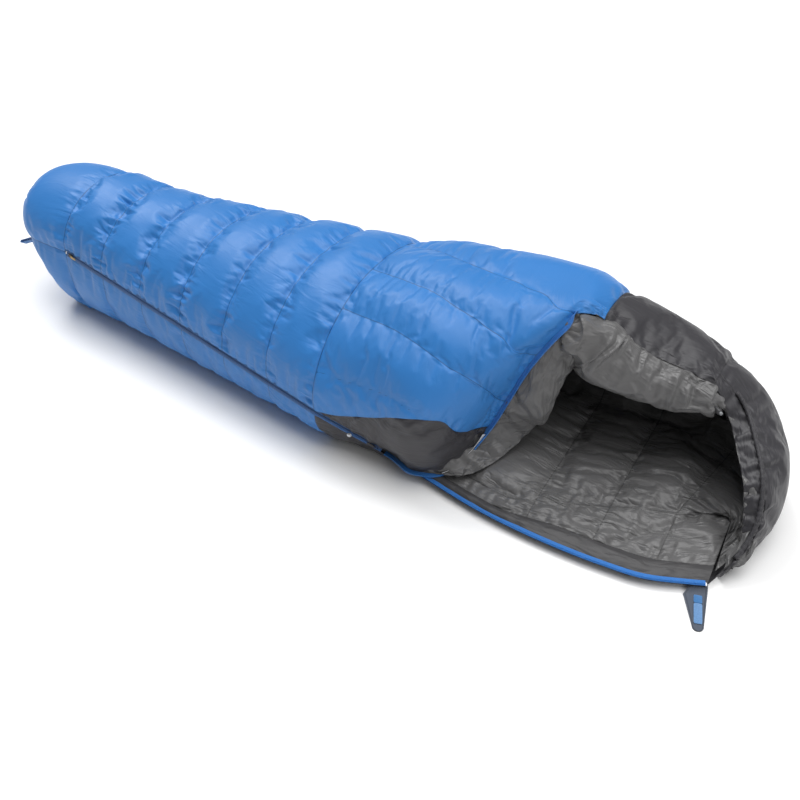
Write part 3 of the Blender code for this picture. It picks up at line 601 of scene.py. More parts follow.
def flap_rim(stations):
    """The flap's edge, where its half of the zip is sewn."""
    return upper(stations, 0.0) + edge_stand(stations)


def chest_surface(station, v):
    """The chest's seams stand proud away from the flap's edge, where they are only lightly stitched."""
    loft = 0.016 * smoothstep(0.0, 0.30, v) * smoothstep(SEAM_LAST, 1.22, station)
    loft = loft * smoothstep(SHOULDER, 1.56, station)
    step = 0.004
    along = upper(station + step, v) - upper(station - step, v)
    across = upper(station, np.minimum(v + step, 1)) - upper(station, np.maximum(v - step, 0))
    n = unit(np.cross(along, across))
    fade = np.exp(-np.asarray(v, float) / 0.035)[..., None]
    return upper(station, v) + n * loft[..., None] + edge_stand(station) * fade


def between_seams(seams, counts, rows, ends=(0.0, 1.0)):
    """A grid across several seams, and the columns that they take."""
    t = np.linspace(*ends, rows)
    curves = [seam_curve(seam, t) for seam in seams]
    spans = []
    for a, b, count in zip(curves, curves[1:], counts):
        k = np.linspace(0, 1, count + 1)[None, :, None]
        spans.append(mix(a[:, None], b[:, None], k)[:, :-1])
    where = np.concatenate(spans + [curves[-1][:, None]], axis=1)
    return chest_surface(where[..., 0], where[..., 1].clip(0, 1)), [int(c) for c in np.cumsum([0] + counts)]


def bend_with_flap(piece):
    """Bakes a piece's transform into its mesh."""
    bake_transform(piece)


def mouth_strength(points):
    """Puckers are slight by the last cross seam and full at the mouth."""
    return 0.15 + 0.85 * smoothstep(1.20, 1.50, points[..., 0])


def chest_near():
    seams = [GUSSET_SEAM, MIDDLE_SEAM, HIGH_SEAM, FOLD_SEAM]
    points, lines = between_seams(seams, [42, 30, 34], 92)
    low = seam_curve(LOW_SEAM, np.linspace(0, 1, 160))
    low = chest_surface(low[:, 0], low[:, 1])
    aslant = np.stack([np.linalg.norm(points - p, axis=-1) for p in low]).min(axis=0)
    piece = quilted("chest_quilt_near", points, [0, -1], lines, (6.0, 0.04, 0.030),
                    (0.0042, 0.0052), 41, strength=mouth_strength(points), reach=0.036, stitched=aslant)
    settle(piece, CHEST_BLUE, "shell_blue", 0.7, "chest_quilt", "chest_flap", bends=True)


def gusset():
    zip_line = [(1.077, 0.010), (1.2, 0.010), (1.24, 0.008), (1.27, 0.003), (1.32, 0.0), (1.4, 0.0),
                (1.45, 0.0)]
    points, lines = between_seams([zip_line, GUSSET_SEAM], [22], 76, (0.012, 0.988))
    piece = quilted("zip_gusset_quilt", points, [0, -1], lines, (2.5, 0.035, 0.012),
                    (0.0050, 0.0050), 47, wave=0.011)
    settle(piece, CHARCOAL, "shell_charcoal", 0.5, "zip_gusset", "flap_gusset", bends=True)


def chest_far():
    rows = 96
    t = np.linspace(0, 1, rows)
    fold = np.concatenate([seam_curve(FOLD_SEAM, t[:82] / t[81]),
                           np.stack([np.linspace(FLAP_CORNER, SHOULDER, 15)[1:], np.zeros(14)], -1)])
    wide = np.stack([np.linspace(SEAM_LAST, SHOULDER, rows), np.ones(rows)], -1)
    where = mix(fold[:, None], wide[:, None], np.linspace(0, 1, 62)[None, :, None])
    points = chest_surface(where[..., 0], where[..., 1].clip(0, 1))
    piece = quilted("chest_quilt_far", points, [0, -1], [0, -1], (6.0, 0.04, 0.030),
                    (0.0034, 0.0040), 53, strength=mouth_strength(points), reach=0.036)
    settle(piece, CHEST_BLUE, "shell_blue", 0.7, "far_chest_quilt", "neck_quilt")


def fold_tuck():
    """The cloth tucked under the flap's fold, which shows when the flap is folded back."""
    t = np.linspace(0.10, 0.995, 80)
    seam = seam_curve(FOLD_SEAM, t)
    beside = seam_curve(HIGH_SEAM, t)
    where = mix(seam[:, None], beside[:, None], np.linspace(0, 0.55, 14)[None, :, None])
    points = chest_surface(where[..., 0], where[..., 1].clip(0, 1))
    k = np.linspace(0, 1, 14)[None, :, None]
    points = points + normals(points) * (0.002 + 0.012 * np.sqrt(k))
    plain_sheet("flap_fold_tuck", points, CHEST_BLUE)


# The charcoal shell


def shoulder():
    stations = np.linspace(SHOULDER, HOOD_START, 48)[:, None]
    points = upper(stations, np.linspace(0, 1, 120)[None, :])
    piece = quilted("shoulder_quilt", points, [0, -1], [0, -1], (4.0, 0.04, 0.018),
                    (0.0035, 0.0040), 61)
    settle(piece, CHARCOAL, "shell_charcoal", 0.6, "shoulder_panel")


def hood_shell():
    rows = 84
    stations = np.linspace(HOOD_START, HOOD_END + 0.03, rows)[:, None]
    v = [np.linspace(0, 0.33, 22), np.linspace(0.33, 1.0, 56)[1:], np.linspace(1.0, 1.5, 26)[1:]]
    points = hood(stations, np.concatenate(v)[None, :])
    piece = quilted("hood_quilt_shell", points, [0, -1], [0, 21, -1], (4.0, 0.045, 0.014),
                    (0.0040, 0.0055), 67, hold=flat_hold(points), wave=0.016)
    settle(piece, CHARCOAL, "shell_charcoal", 0.5, "hood_quilt")


def torso_back():
    rows = 110
    points = back_rows(SEAM_LAST, HOOD_START + 0.004, rows)
    share = (np.array([SEAM_LAST, *BACK_SEAMS]) - SEAM_LAST) / (HOOD_START - SEAM_LAST)
    seams = [int(round(s * (rows - 1))) for s in share]
    piece = quilted("torso_quilt_back", points, seams + [-1], [0, -1], (4.0, 0.035, 0.016),
                    (0.0040, 0.0012), 71, hold=flat_hold(points))
    settle(piece, CHARCOAL, "shell_charcoal", 0.6, *[f"torso_back_{i + 1}" for i in range(4)])


def head_rows(rows):
    """Near and far end of each row across the head end, which fan round the back of the hood."""
    t = np.linspace(0, 1, rows)
    return mix(HOOD_START, 2.066, t), mix(HOOD_START, 2.50, t)


def head_bottom():
    near_s, far_s = head_rows(40)
    edge = rail(BED, near_s)
    foot = hood(far_s, 1.5)
    k = np.linspace(0, 1, 40)[None, :, None]
    down = edge + np.array([0.0, 0.012, 0.0])
    down[:, 2] = 0
    line = mix(down[:, None], foot[:, None], k)
    drop = mix(edge[:, None], down[:, None], np.linspace(0, 1, 6)[None, :-1, None])
    points = np.concatenate([drop, line], axis=1)[:, ::-1]
    piece = grid_mesh("head_quilt_back", points)
    dress(piece, points)
    finish_sheet(piece, CHARCOAL, 0)
    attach(piece, "root")
    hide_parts("head_back")


# The lining

LINE_A = [(1.12, -0.215), (1.30, -0.190), (1.45, -0.215), (1.582, -0.225), (1.710, -0.171), (1.842, -0.108),
          (1.983, -0.051), (2.065, 0.016)]
LINE_B = [(1.846, -0.228), (1.906, -0.150), (1.983, -0.051)]
BED_SEAMS = (1.40, 1.645, 1.80, 1.965)
BED_HEIGHT = 0.038
FACING = 0.052
HEAD_ROWS = 30  # rows of the bed past the start of the hood


def bed_rows(rows):
    """Stations of each row of the bed at the zip and at the far wall, and its x on line A."""
    body = np.linspace(1.10, HOOD_START, rows - HEAD_ROWS)
    ends = [np.linspace(HOOD_START, end, HEAD_ROWS + 1)[1:] for end in (2.066, 2.51, 2.058)]
    return [np.concatenate([body, end]) for end in ends]


def bed_lines(rows):
    """Four points of each row across the bed: zip, inner edge of the facing, line A, and the far wall."""
    near_s, far_s, a_x = bed_rows(rows)
    edge = mix(rail(EDGE, near_s), rail(BED, near_s), smoothstep(1.16, 1.32, near_s)[..., None])
    far = rail(WIDE, far_s)
    inward = np.array([1.90, 0.02, 0.0]) - far
    inward[:, 2] = 0
    straight = np.where((far_s < HOOD_START)[:, None], np.array([0.0, -1.0, 0.0]), unit(inward))
    far = far + straight * np.interp(far_s, [HOOD_START, 2.51], [0.035, 0.008])[:, None]
    far[:, 2] = np.maximum(far[:, 2] * 0.62, 0.03)
    line_a = stack(a_x, np.interp(a_x, *zip(*LINE_A)), BED_HEIGHT - 0.004)
    line_a[:, 1] = np.maximum(line_a[:, 1], edge[:, 1] + FACING + 0.012)
    width = np.minimum(FACING, 0.4 * np.linalg.norm(line_a - edge, axis=1))
    facing = edge + unit(line_a - edge) * width[:, None]
    facing[:, 2] = edge[:, 2] + 0.010
    return edge, facing, line_a, far


def bed_facing():
    edge, facing, _, _ = bed_lines(150)
    k = np.linspace(0, 1, 9)[None, :, None]
    points = mix(edge[:, None], facing[:, None], k)
    points[..., 2] += 0.006 * np.sin(k[..., 0] * math.pi)
    points[..., 2] += 0.0016 * noise_field(points.shape[:2], (50, 3), 83) * np.sin(k[..., 0] * math.pi)
    piece = grid_mesh("bed_zip_facing", points)
    dress(piece, points, seam_distance(points, [], [0, -1]))
    finish_sheet(piece, FACING_GREY)
    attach(piece, "root")
    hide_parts("head_lining")
    across, along = runs(points, 1)[:, -1], runs(points, 0)[-1]


def beside(points, line):
    """How far each point lies from a line across the bed, seen from above."""
    line = np.array(line)
    best = np.full(points.shape[:2], 9.0)
    for a, b in zip(line, line[1:]):
        t = np.clip(((points[..., :2] - a) @ (b - a)) / ((b - a) @ (b - a)), 0, 1)
        gap = np.linalg.norm(points[..., :2] - a - t[..., None] * (b - a), axis=-1)
        best = np.minimum(best, gap)
    return best


def bed_lining():
    rows = 150
    _, facing, line_a, far = bed_lines(rows)
    first = mix(facing[:, None], line_a[:, None], np.linspace(0, 1, 17)[None, :-1, None])
    k = np.linspace(0, 1, 74)[None, :, None]
    bed = mix(line_a[:, None], far[:, None], k)
    rise = far[:, 2][:, None] - BED_HEIGHT
    across = k[..., 0]
    dip = 0.004 * (1 - smoothstep(0, 0.1, across))
    bed[..., 2] = BED_HEIGHT + rise * smoothstep(0.80, 1.0, across) - dip
    points = np.concatenate([first, bed], axis=1)
    near_b = beside(points, LINE_B)
    points[..., 2] -= 0.010 * np.exp(-((near_b / 0.012) ** 2))
    x = points[:, 40, 0]
    seams = [int(np.argmin(np.abs(x - s))) for s in BED_SEAMS]
    piece = quilted("bed_lining_quilt", points, [0, *seams, -1], [0, 16, -1], (5.0, 0.050, 0.030),
                    (0.0085, 0.0040), 89, reach=0.07, stitched=near_b)
    settle(piece, GREY, "lining_grey", 0.6, "torso_lining")


def inside_of(surface, stations, v, depth):
    """A grid inside a surface, facing in."""
    points = surface(stations, v)
    return (points - normals(points) * depth)[:, ::-1]


def hood_lining():
    stations = np.linspace(1.63, HOOD_END + 0.01, 100)[:, None]
    k = np.linspace(0, 1, 70)[None, :]
    top = mix(1.0, 1.30, smoothstep(HOOD_START, 2.0, stations))
    v = k * top
    depth = 0.034 * smoothstep(0.0, 0.25, v) * np.clip(rail(CROWN, stations)[..., 2] / 0.2, 0.25, 1)
    points = inside_of(hood, stations, v, depth[..., None])
    piece = quilted("hood_lining_quilt", points, [0, -1], [0, 50, -1], (3.5, 0.06, 0.015),
                    (0.006, 0.009), 97, wave=0.016, reach=0.06)
    settle(piece, GREY, "lining_grey", 0.5, "hood_lining")


def chest_roof_lining():
    stations = np.linspace(1.10, 1.66, 50)[:, None]
    v = mix(np.where(stations > 1.58, 0.30, 0.56), 1.0, np.linspace(0, 1, 40)[None, :])
    points = inside_of(upper, stations, v, 0.034)
    piece = quilted("chest_roof_lining", points, [0, -1], [0, -1], (2.0, 0.03, 0.015),
                    (0.003, 0.003), 101)
    finish_sheet(piece, GREY)
    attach(piece, "root")


def leg_lining():
    stations = np.linspace(0.06, 1.13, 60)[:, None]
    over = upper(stations.clip(SEAM_ONE), np.linspace(0, 1, 40)[None, :])
    back = under(stations.clip(SEAM_ONE), np.linspace(1, 0, 30)[None, 1:])
    loop = np.concatenate([over, back], axis=1)
    middle = loop.mean(axis=1, keepdims=True)
    share = 0.86 * np.clip((stations - 0.02) / 0.13, 0, 1)[..., None] ** 0.4
    points = middle + (loop - middle) * share
    points[..., 0] = stations
    piece = plain_sheet("leg_lining_tube", points, GREY)
    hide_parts("leg_lining")


# The flap's edge and the neck

CREASE = [
    (1.24, 1.258, -0.233, 0.042), (1.31, 1.345, -0.240, 0.045), (1.36, 1.414, -0.238, 0.046),
    (1.4, 1.467, -0.224, 0.052), (1.43, 1.506, -0.176, 0.064), (1.455, 1.534, -0.124, 0.084),
    (1.49, 1.570, -0.062, 0.134), (1.52, 1.600, -0.070, 0.172), (1.55, 1.612, -0.040, 0.248),
    (1.59, 1.630, 0.020, 0.335), (1.61, 1.642, 0.050, 0.370),
]


def flap_lip():
    """The flap's padded draft tube: from the zip round to a crease, then back up inside the flap."""
    stations = np.linspace(1.275, 1.606, 96)
    edge, crease = flap_rim(stations), rail(CREASE, stations)
    along = unit(np.gradient(edge, axis=0))
    across = unit(crease - edge)
    face = np.array([0.45, -0.35, 0.80])
    face = face - along * (along @ face)[:, None]
    face = unit(face - across * np.sum(face * across, axis=1, keepdims=True))
    width = np.linalg.norm(crease - edge, axis=1)[:, None]
    bulge = np.interp(stations, [1.275, 1.34, 1.46, 1.51], [0.10, -0.04, -0.04, 0.12])[:, None]
    low = mix(edge, crease, 0.35) + face * width * bulge
    high = mix(edge, crease, 0.85) + face * width * (bulge + 0.12)
    k = np.linspace(0, 1, 24)[None, :, None]
    front = bezier(edge[:, None], low[:, None], high[:, None], crease[:, None], k)
    inner_v = np.interp(stations, [1.275, 1.45, 1.51, 1.606], [0.06, 0.06, 0.16, 0.03])
    behind = chest_surface(stations - 0.03, inner_v)
    patch = chest_surface(stations[:, None] - 0.03, inner_v[:, None] + np.linspace(0, 0.02, 3))
    behind = behind - normals(patch)[:, 0] * 0.036
    turn = mix(crease, behind, 0.25) - face * width * 0.25
    k = np.linspace(0, 1, 18)[None, 1:, None]
    back = bezier(crease[:, None], turn[:, None], mix(turn, behind, 0.6)[:, None], behind[:, None], k)
    points = np.concatenate([front, back], axis=1)[:, ::-1]
    low_part = smoothstep(1.32, 1.36, stations) * smoothstep(1.49, 1.45, stations)
    near_zip = np.linalg.norm(points - edge[:, None], axis=-1) < (0.004 + 0.024 * low_part)[:, None]
    near_zip[:, :18] = False
    piece = quilted("flap_draft_tube_lip", points, [], [0, 17, -1], (3.5, 0.07, 0.018), (0, 0.0070), 103,
                    wave=0.014, reach=0.05, hold=near_zip)
    settle(piece, GREY, "lining_grey", 0.6, "flap_draft_tube", bends=True)


def flap_lining():
    stations = np.linspace(1.11, 1.575, 60)[:, None]
    fold = np.interp(stations, [1.077, 1.17, 1.295, 1.41, 1.5, 1.56, 1.6],
                     [0.66, 0.65, 0.61, 0.555, 0.51, 0.30, 0.1])
    v = mix(0.03, fold, np.linspace(0, 1, 44)[None, :])
    points = inside_of(upper, stations, v, 0.036)
    piece = quilted("flap_lining_quilt", points, [0, -1], [0, -1], (2.0, 0.03, 0.012),
                    (0.003, 0.003), 107)
    settle(piece, GREY, "lining_grey", 0.4, "flap_lining", bends=True)


def roll(name, edge, centre, radius, puckers_across, seed, cap, fill, replaced):
    """A down-filled tube of lining along an edge, gathered by its stitching."""
    along = unit(np.gradient(centre, axis=0))
    up = edge - centre
    up = unit(up - along * np.sum(up * along, axis=1, keepdims=True))
    out = np.cross(along, up)
    angle = np.linspace(0, 2 * math.pi, 73)[None, :, None]
    ring = up[:, None] * np.cos(angle) + out[:, None] * np.sin(angle)
    points = centre[:, None] + radius[:, None, None] * ring
    piece = quilted(name, points, [0, -1], [0, -1], (3.0, 0.10, cap), (0.008, puckers_across), seed,
                    wave=0.015, reach=0.07)
    settle(piece, GREY, "lining_grey", fill, replaced)


def neck_roll():
    """The fat baffle along the neck edge, pinched at the flap's corner."""
    stations = np.linspace(1.578, 1.962, 96)
    edge = upper(stations, 0.0)
    drop = np.interp(stations, [1.578, 1.60, 1.64, 1.67, 1.76, 1.86, 1.925, 1.962],
                     [0.018, 0.048, 0.064, 0.068, 0.056, 0.047, 0.038, 0.006])
    centre = edge + drop[:, None] * np.array([0.05, -0.25, -1.0])
    roll("neck_baffle_roll", edge, centre, drop * 0.98, 0.009, 109, 0.020, 0.8, "neck_baffle")


def collar_tail():
    """The thin end of the collar, gathered along the inside of the hood's opening."""
    stations = np.linspace(1.965, 2.46, 110)
    edge = upper(stations, 0.0)
    radius = np.interp(stations, [1.965, 2.0, 2.15, 2.35, 2.43, 2.46],
                       [0.009, 0.015, 0.017, 0.015, 0.010, 0.005])
    wall = unit(hood(stations, 0.14) - edge)
    within = -normals(hood(stations[:, None], np.array([0.02, 0.06, 0.10])))[:, 1]
    centre = edge + wall * radius[:, None] * 0.9 + within * (radius[:, None] + 0.004)
    centre[:, 2] = np.maximum(centre[:, 2], radius + 0.006)
    roll("collar_tail_roll", edge, centre, radius, 0.005, 113, 0.006, 0.6, "collar_tail")


# Zips, hardware and trim

ZIP_NORMAL = np.array([0.0, -0.98, 0.20])
BED_NORMAL = np.array([0.0, -0.30, 0.954])
COIL = 0.0030  # half width of the closed coil
PITCH = 0.0024  # one rib of a coil
OPEN_RIB = (0.0021, 0.0018)  # half width and height of the open zip's ribs
TAPE = 0.0105  # how far a tape reaches from the middle of the zip


def zip_frames(table, stations, n):
    """Points, sideways and outward directions along a zip."""
    stations = np.asarray(stations, float)
    point = rail(table, stations)
    t = unit(rail(table, stations + 0.002) - rail(table, stations - 0.002))
    n = unit(n - t * np.sum(n * t, axis=-1, keepdims=True))
    return point, unit(np.cross(t, n)), n


def swept(name, frames, profile):
    """A strip: a profile of (sideways, outward) offsets carried along frames."""
    point, side, n = frames
    profile = np.asarray(profile, float)
    grid = point[:, None] + side[:, None] * profile[None, :, 0, None]
    grid = grid + n[:, None] * profile[None, :, 1, None]
    piece = grid_mesh(name, grid)
    seam_attribute(piece, np.full(grid.shape[:2], 0.1))
    flat = np.stack([np.broadcast_to(runs(grid, 0)[:, :1], grid.shape[:2]), runs(grid, 1)], -1)
    corners = np.zeros(len(piece.data.loops), np.int32)
    piece.data.loops.foreach_get("vertex_index", corners)
    piece.data.uv_layers.new(name="cloth").data.foreach_set("uv", flat.reshape(-1, 2)[corners].ravel())
    return piece


def ribs(name, frames, half, height, paint):
    """A row of rounded ribs across a zip, as its nylon coil shows."""
    point, side, n = frames
    run = path_length(point)
    at = np.arange(PITCH / 2, run[-1], PITCH)
    where = [np.stack([np.interp(at, run, a[:, k]) for k in range(3)], -1) for a in (point, side, n)]
    point, side, n = where[0], unit(where[1]), unit(where[2])
    t = np.cross(side, n)
    across = np.array([-1.0, -0.8, -0.1, 0.1, 0.8, 1.0])
    rise = np.array([0.15, 0.85, 1.0, 1.0, 0.85, 0.15])
    turn = np.linspace(0, 2 * math.pi, 7)[:-1]
    thick = 0.36 * PITCH
    c = point[:, None, None] + side[:, None, None] * (across * half)[None, :, None, None]
    c = c + n[:, None, None] * (rise * height)[None, :, None, None]
    shape = c + t[:, None, None] * (np.cos(turn) * thick)[None, None, :, None]
    shape = shape + n[:, None, None] * (np.sin(turn) * thick)[None, None, :, None]
    count = len(at)
    index = np.arange(count * 36).reshape(count, 6, 6)
    ahead = np.roll(index, -1, axis=2)
    quads = np.stack([index[:, :-1], ahead[:, :-1], ahead[:, 1:], index[:, 1:]], -1).reshape(-1, 4)
    mesh = bpy.data.meshes.new(name)
    caps = index[:, 0, ::-1].tolist() + index[:, -1].tolist()
    mesh.from_pydata(to_part(shape).reshape(-1, 3).tolist(), [], quads.tolist() + caps)
    mesh.shade_smooth()
    made = linked(name, mesh)
    mesh.materials.append(paint)
    return made


def tape(name, frames, near, far, paint, replaced, ride=True):
    """One zip tape with its raised stitching line."""
    profile = [(mix(near, far, k), 0.0002 + 0.0007 * math.sin(math.pi * k)) for k in np.linspace(0, 1, 7)]
    piece = swept(name, frames, profile)
    piece.data.materials.append(paint)
    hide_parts(replaced)
    if ride:
        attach(piece, "root")
    return piece


def zips():
    closed = zip_frames(EDGE, np.linspace(SEAM_ONE + 0.006, ZIP_SPLIT, 260), ZIP_NORMAL)
    lifted = (closed[0] + closed[2] * 0.0015, closed[1], closed[2])
    # The closed coil is the open coil's nylon in a darker blue: painted shade under the overhanging puffs.
    coil = ribs("zip_coil_closed", lifted, COIL, 0.0012, SHADED_COIL_BLUE)
    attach(coil, "root")
    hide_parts("zip_coil")
    # The closed zip's tapes are the open tape's blue darkened: painted shade between the puffs.
    tape("zip_tape_top", lifted, -0.0016, -TAPE, SHADED_TAPE_BLUE, "zip_tape_upper")
    tape("zip_tape_bottom", lifted, TAPE, 0.0016, SHADED_TAPE_BLUE, "zip_tape_lower")
    point, side, n = zip_frames(BED, np.linspace(ZIP_SPLIT + 0.008, 2.062, 240), BED_NORMAL)
    bed = (point + n * 0.0030, side, n)
    row = ribs("bed_zip_teeth", bed, *OPEN_RIB, BRIGHT_BLUE)
    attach(row, "root")
    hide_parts("bed_zip_coil")
    tape("bed_zip_band", bed, 0.0040, -0.0085, BRIGHT_TAPE, "bed_zip_tape")
    stations = np.linspace(1.250, 1.604, 170)
    out = edge_way(stations)
    t = unit(np.gradient(flap_rim(stations), axis=0))
    tip = (flap_rim(stations) + out * 0.0120, out, unit(np.cross(out, t)))
    row = ribs("flap_zip_teeth", tip, *OPEN_RIB, BRIGHT_BLUE)
    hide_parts("flap_zip_coil")
    bend_with_flap(row)
    band = tape("flap_zip_band", tip, -0.0150, -0.0010, BRIGHT_TAPE, "flap_zip_tape", ride=False)
    bend_with_flap(band)


def labels():
    """Two blank woven labels sewn in beside the flap's zip."""
    for i, (first, last, reach) in enumerate(((1.393, 1.412, 0.011), (1.428, 1.447, 0.012))):
        stations = np.linspace(first, last, 12)
        side, n = flap_frames(stations)[1], edge_way(stations)
        k = np.linspace(0, 1, 6)[None, :, None]
        rise = 0.008 + 0.003 * np.sin(np.linspace(0, 3, 12) + i)[:, None, None] * k
        grid = flap_rim(stations)[:, None] + side[:, None] * (0.001 + reach * k) + n[:, None] * rise
        piece = grid_mesh(f"care_label_{i + 1}_blank", grid)
        dress(piece, grid)
        piece.data.materials.append(WHITE)
        thick = piece.modifiers.new("thick", "SOLIDIFY")
        thick.thickness = 0.0005
        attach(piece, "flap")
        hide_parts(f"care_label_{i + 1}")


def plate(name, outline, low, high, place, paint, slot, body, bevel=0.0006, hole=None):
    """A flat plate from an outline in a local frame, with an optional hole and rounded edges."""
    origin, t, side, n = place
    rings = [outline] if hole is None else [outline, hole]
    mesh = bmesh.new()
    layers = []
    for z in (low, high):
        base = origin + n * z
        layers.append([[mesh.verts.new(to_part(base + t * x + side * y)) for x, y in ring]
                       for ring in rings])
    for k in range(len(rings)):
        a, b = layers[0][k], layers[1][k]
        for i in range(len(a)):
            j = (i + 1) % len(a)
            mesh.faces.new((a[i], a[j], b[j], b[i]))
    for layer in layers:
        if hole is None:
            mesh.faces.new(layer[0])
        else:
            for i in range(len(outline)):
                j = (i + 1) % len(outline)
                mesh.faces.new((layer[0][i], layer[0][j], layer[1][j], layer[1][i]))
    bmesh.ops.recalc_face_normals(mesh, faces=mesh.faces)
    data = bpy.data.meshes.new(name)
    mesh.to_mesh(data)
    mesh.free()
    made = linked(name, data)
    soften = made.modifiers.new("edges", "BEVEL")
    soften.width = bevel
    soften.segments = 2
    data.materials.append(paint)
    data.shade_smooth()
    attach(made, body)
    return made


def oval(x, half_x, half_y, count, power=2.6):
    """The outline of a rounded bar."""
    turn = np.linspace(0, 2 * math.pi, count, endpoint=False)
    c, s = [np.sign(w) * np.abs(w) ** (2 / power) for w in (np.cos(turn), np.sin(turn))]
    return list(zip(x + half_x * c, half_y * s))


def tube_along(name, path, radius, paint, sides=12, flat=1.0, up=(0, 0, 1.0), body="root"):
    """A round or flattened tube along a run of points."""
    path = np.asarray(path, float)
    t = unit(np.gradient(path, axis=0))
    side = unit(np.cross(t, np.asarray(up, float)))
    over = np.cross(side, t)
    turn = np.linspace(0, 2 * math.pi, sides, endpoint=False)
    profile = np.broadcast_to(np.asarray(radius, float), len(path))[:, None, None]
    c, s = np.cos(turn)[None, :, None], np.sin(turn)[None, :, None]
    ring = side[:, None] * c + over[:, None] * s * flat
    grid = path[:, None] + ring * profile
    piece = grid_mesh(name, grid, wrap=True)
    mesh = bmesh.new()
    mesh.from_mesh(piece.data)
    mesh.verts.ensure_lookup_table()
    for first, step in ((0, -1), ((len(path) - 1) * sides, 1)):
        loop = [mesh.verts[first + k] for k in range(sides)]
        mesh.faces.new(loop[::step])
    bmesh.ops.recalc_face_normals(mesh, faces=mesh.faces)
    mesh.to_mesh(piece.data)
    mesh.free()
    piece.data.shade_smooth()
    seam_attribute(piece, np.full(len(piece.data.vertices), 0.1))
    piece.data.uv_layers.new(name="cloth")
    piece.data.materials.append(paint)
    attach(piece, body)
    return piece


SLIDER_EDGE = ((0.0095, 0.0030), (0.0090, 0.0052), (0.0040, 0.0056), (-0.0030, 0.0046),
               (-0.0080, 0.0040), (-0.0095, 0.0026))
FLANGE_EDGE = ((0.0085, 0.0052), (0.0085, 0.0041), (-0.0070, 0.0031), (-0.0070, 0.0041))
BRIDGE = ((-0.0055, 0.0046), (-0.0055, 0.0070), (-0.002, 0.0088), (0.003, 0.0088), (0.0058, 0.0070),
          (0.0058, 0.0046))


def slider(name, station, heading, paint, slot, puller_paint, puller_slot):
    """A zip slider: waisted top plate, bridge for the puller, and the puller with its ring end."""
    point, side, n = (a[0] for a in zip_frames(EDGE, [station], ZIP_NORMAL))
    t = np.cross(n, side) * heading
    local = (point, t, side, n)
    body, pull = f"{name}_slider", f"{name}_puller"
    shape = list(SLIDER_EDGE) + [(x, -y) for x, y in SLIDER_EDGE[::-1]]
    top = plate(f"{name}_slider_plate", shape, 0.0034, 0.0050, local, paint, slot, body)
    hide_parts(body)
    for sign, end in ((-1, "far"), (1, "near")):
        rim = [(x, sign * y) for x, y in FLANGE_EDGE]
        plate(f"{name}_slider_flange_{end}", rim, 0.0022, 0.0036, local, paint, slot, body, 0.0003)
    path = [point + t * x + n * z for x, z in BRIDGE]
    tube_along(f"{name}_slider_bridge", path, 0.0011, paint, up=side, body=body)
    grip = (point + n * 0.0084, t, side, n)
    look = (grip, puller_paint, puller_slot, pull, 0.0003)
    outline = oval(0.0135, 0.0130, 0.0033, 28, 3.2)
    puller = plate(f"{pull}_blade", outline, -0.0008, 0.0008, *look, oval(0.0040, 0.0022, 0.0018, 28))
    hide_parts(pull)
    plate(f"{pull}_ridge", oval(0.0175, 0.0060, 0.0021, 20, 3.0), 0.0007, 0.0012, *look)


def stops_and_stud():
    for name, table, station, n in (("zip_bottom_stop", EDGE, SEAM_ONE + 0.0042, ZIP_NORMAL),
                                    ("zip_top_stop", BED, 2.0635, BED_NORMAL)):
        point, side, n = (a[0] for a in zip_frames(table, [station], n))
        place = (point, np.cross(n, side), side, n)
        outline = oval(0, 0.0022, 0.0044, 20, 4)
        stop = plate(f"{name}_clip", outline, -0.002, 0.0030, place, STEEL, "steel", "root")
        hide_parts(name)
    point, side, n = (a[0] for a in zip_frames(EDGE, [1.165], ZIP_NORMAL))
    centre = point + side * 0.0108 + n * 0.0030
    path = [centre + n * z for z in (-0.004, 0.0, 0.0016, 0.0016, 0.0030, 0.0040, 0.0042)]
    radius = [0.0062, 0.0062, 0.0060, 0.0046, 0.0044, 0.0034, 0.0010]
    stud = tube_along("snap_stud_cap", path, radius, SNAP, 24, up=side)
    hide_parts("snap_stud")


def hood_trim():
    """The drawcord's spring lock and its tunnel along the hood's edge."""
    centre, along = np.array([1.952, 0.060, 0.262]), np.array([0.8, -0.6, 0.0])
    path = [centre + along * x for x in (-0.0102, -0.0095, -0.006, 0.0, 0.006, 0.0095, 0.0102)]
    radius = [0.0056, 0.0067, 0.0070, 0.0064, 0.0070, 0.0067, 0.0052]
    lock = tube_along("cord_lock_barrel", path, radius, LOCK, 24)
    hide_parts("cord_lock_body")
    path = [centre + along * x for x in (0.008, 0.0155, 0.0164, 0.0168)]
    radius = [0.0040, 0.0040, 0.0034, 0.0020]
    button = tube_along("cord_lock_plunger", path, radius, PALE_LOCK, 24,
                        body="cord_lock_button")
    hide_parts("cord_lock_button")
    run = np.linspace(1.975, 2.44, 90)
    base = hood(run, 0.335)
    n = normals(hood(run[:, None], np.array([0.325, 0.335, 0.345])))[:, 1]
    wave = 0.0006 * np.sin(np.arange(90) * 2.4)[:, None]
    radius = 0.0052 + 0.0009 * np.sin(np.arange(90) * 2.1)
    sheath = tube_along("drawcord_tunnel_seam", base + n * (0.0050 + wave), radius, CHARCOAL,
                        14, 0.8)
    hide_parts("drawcord_tunnel", "hood_drawcord")


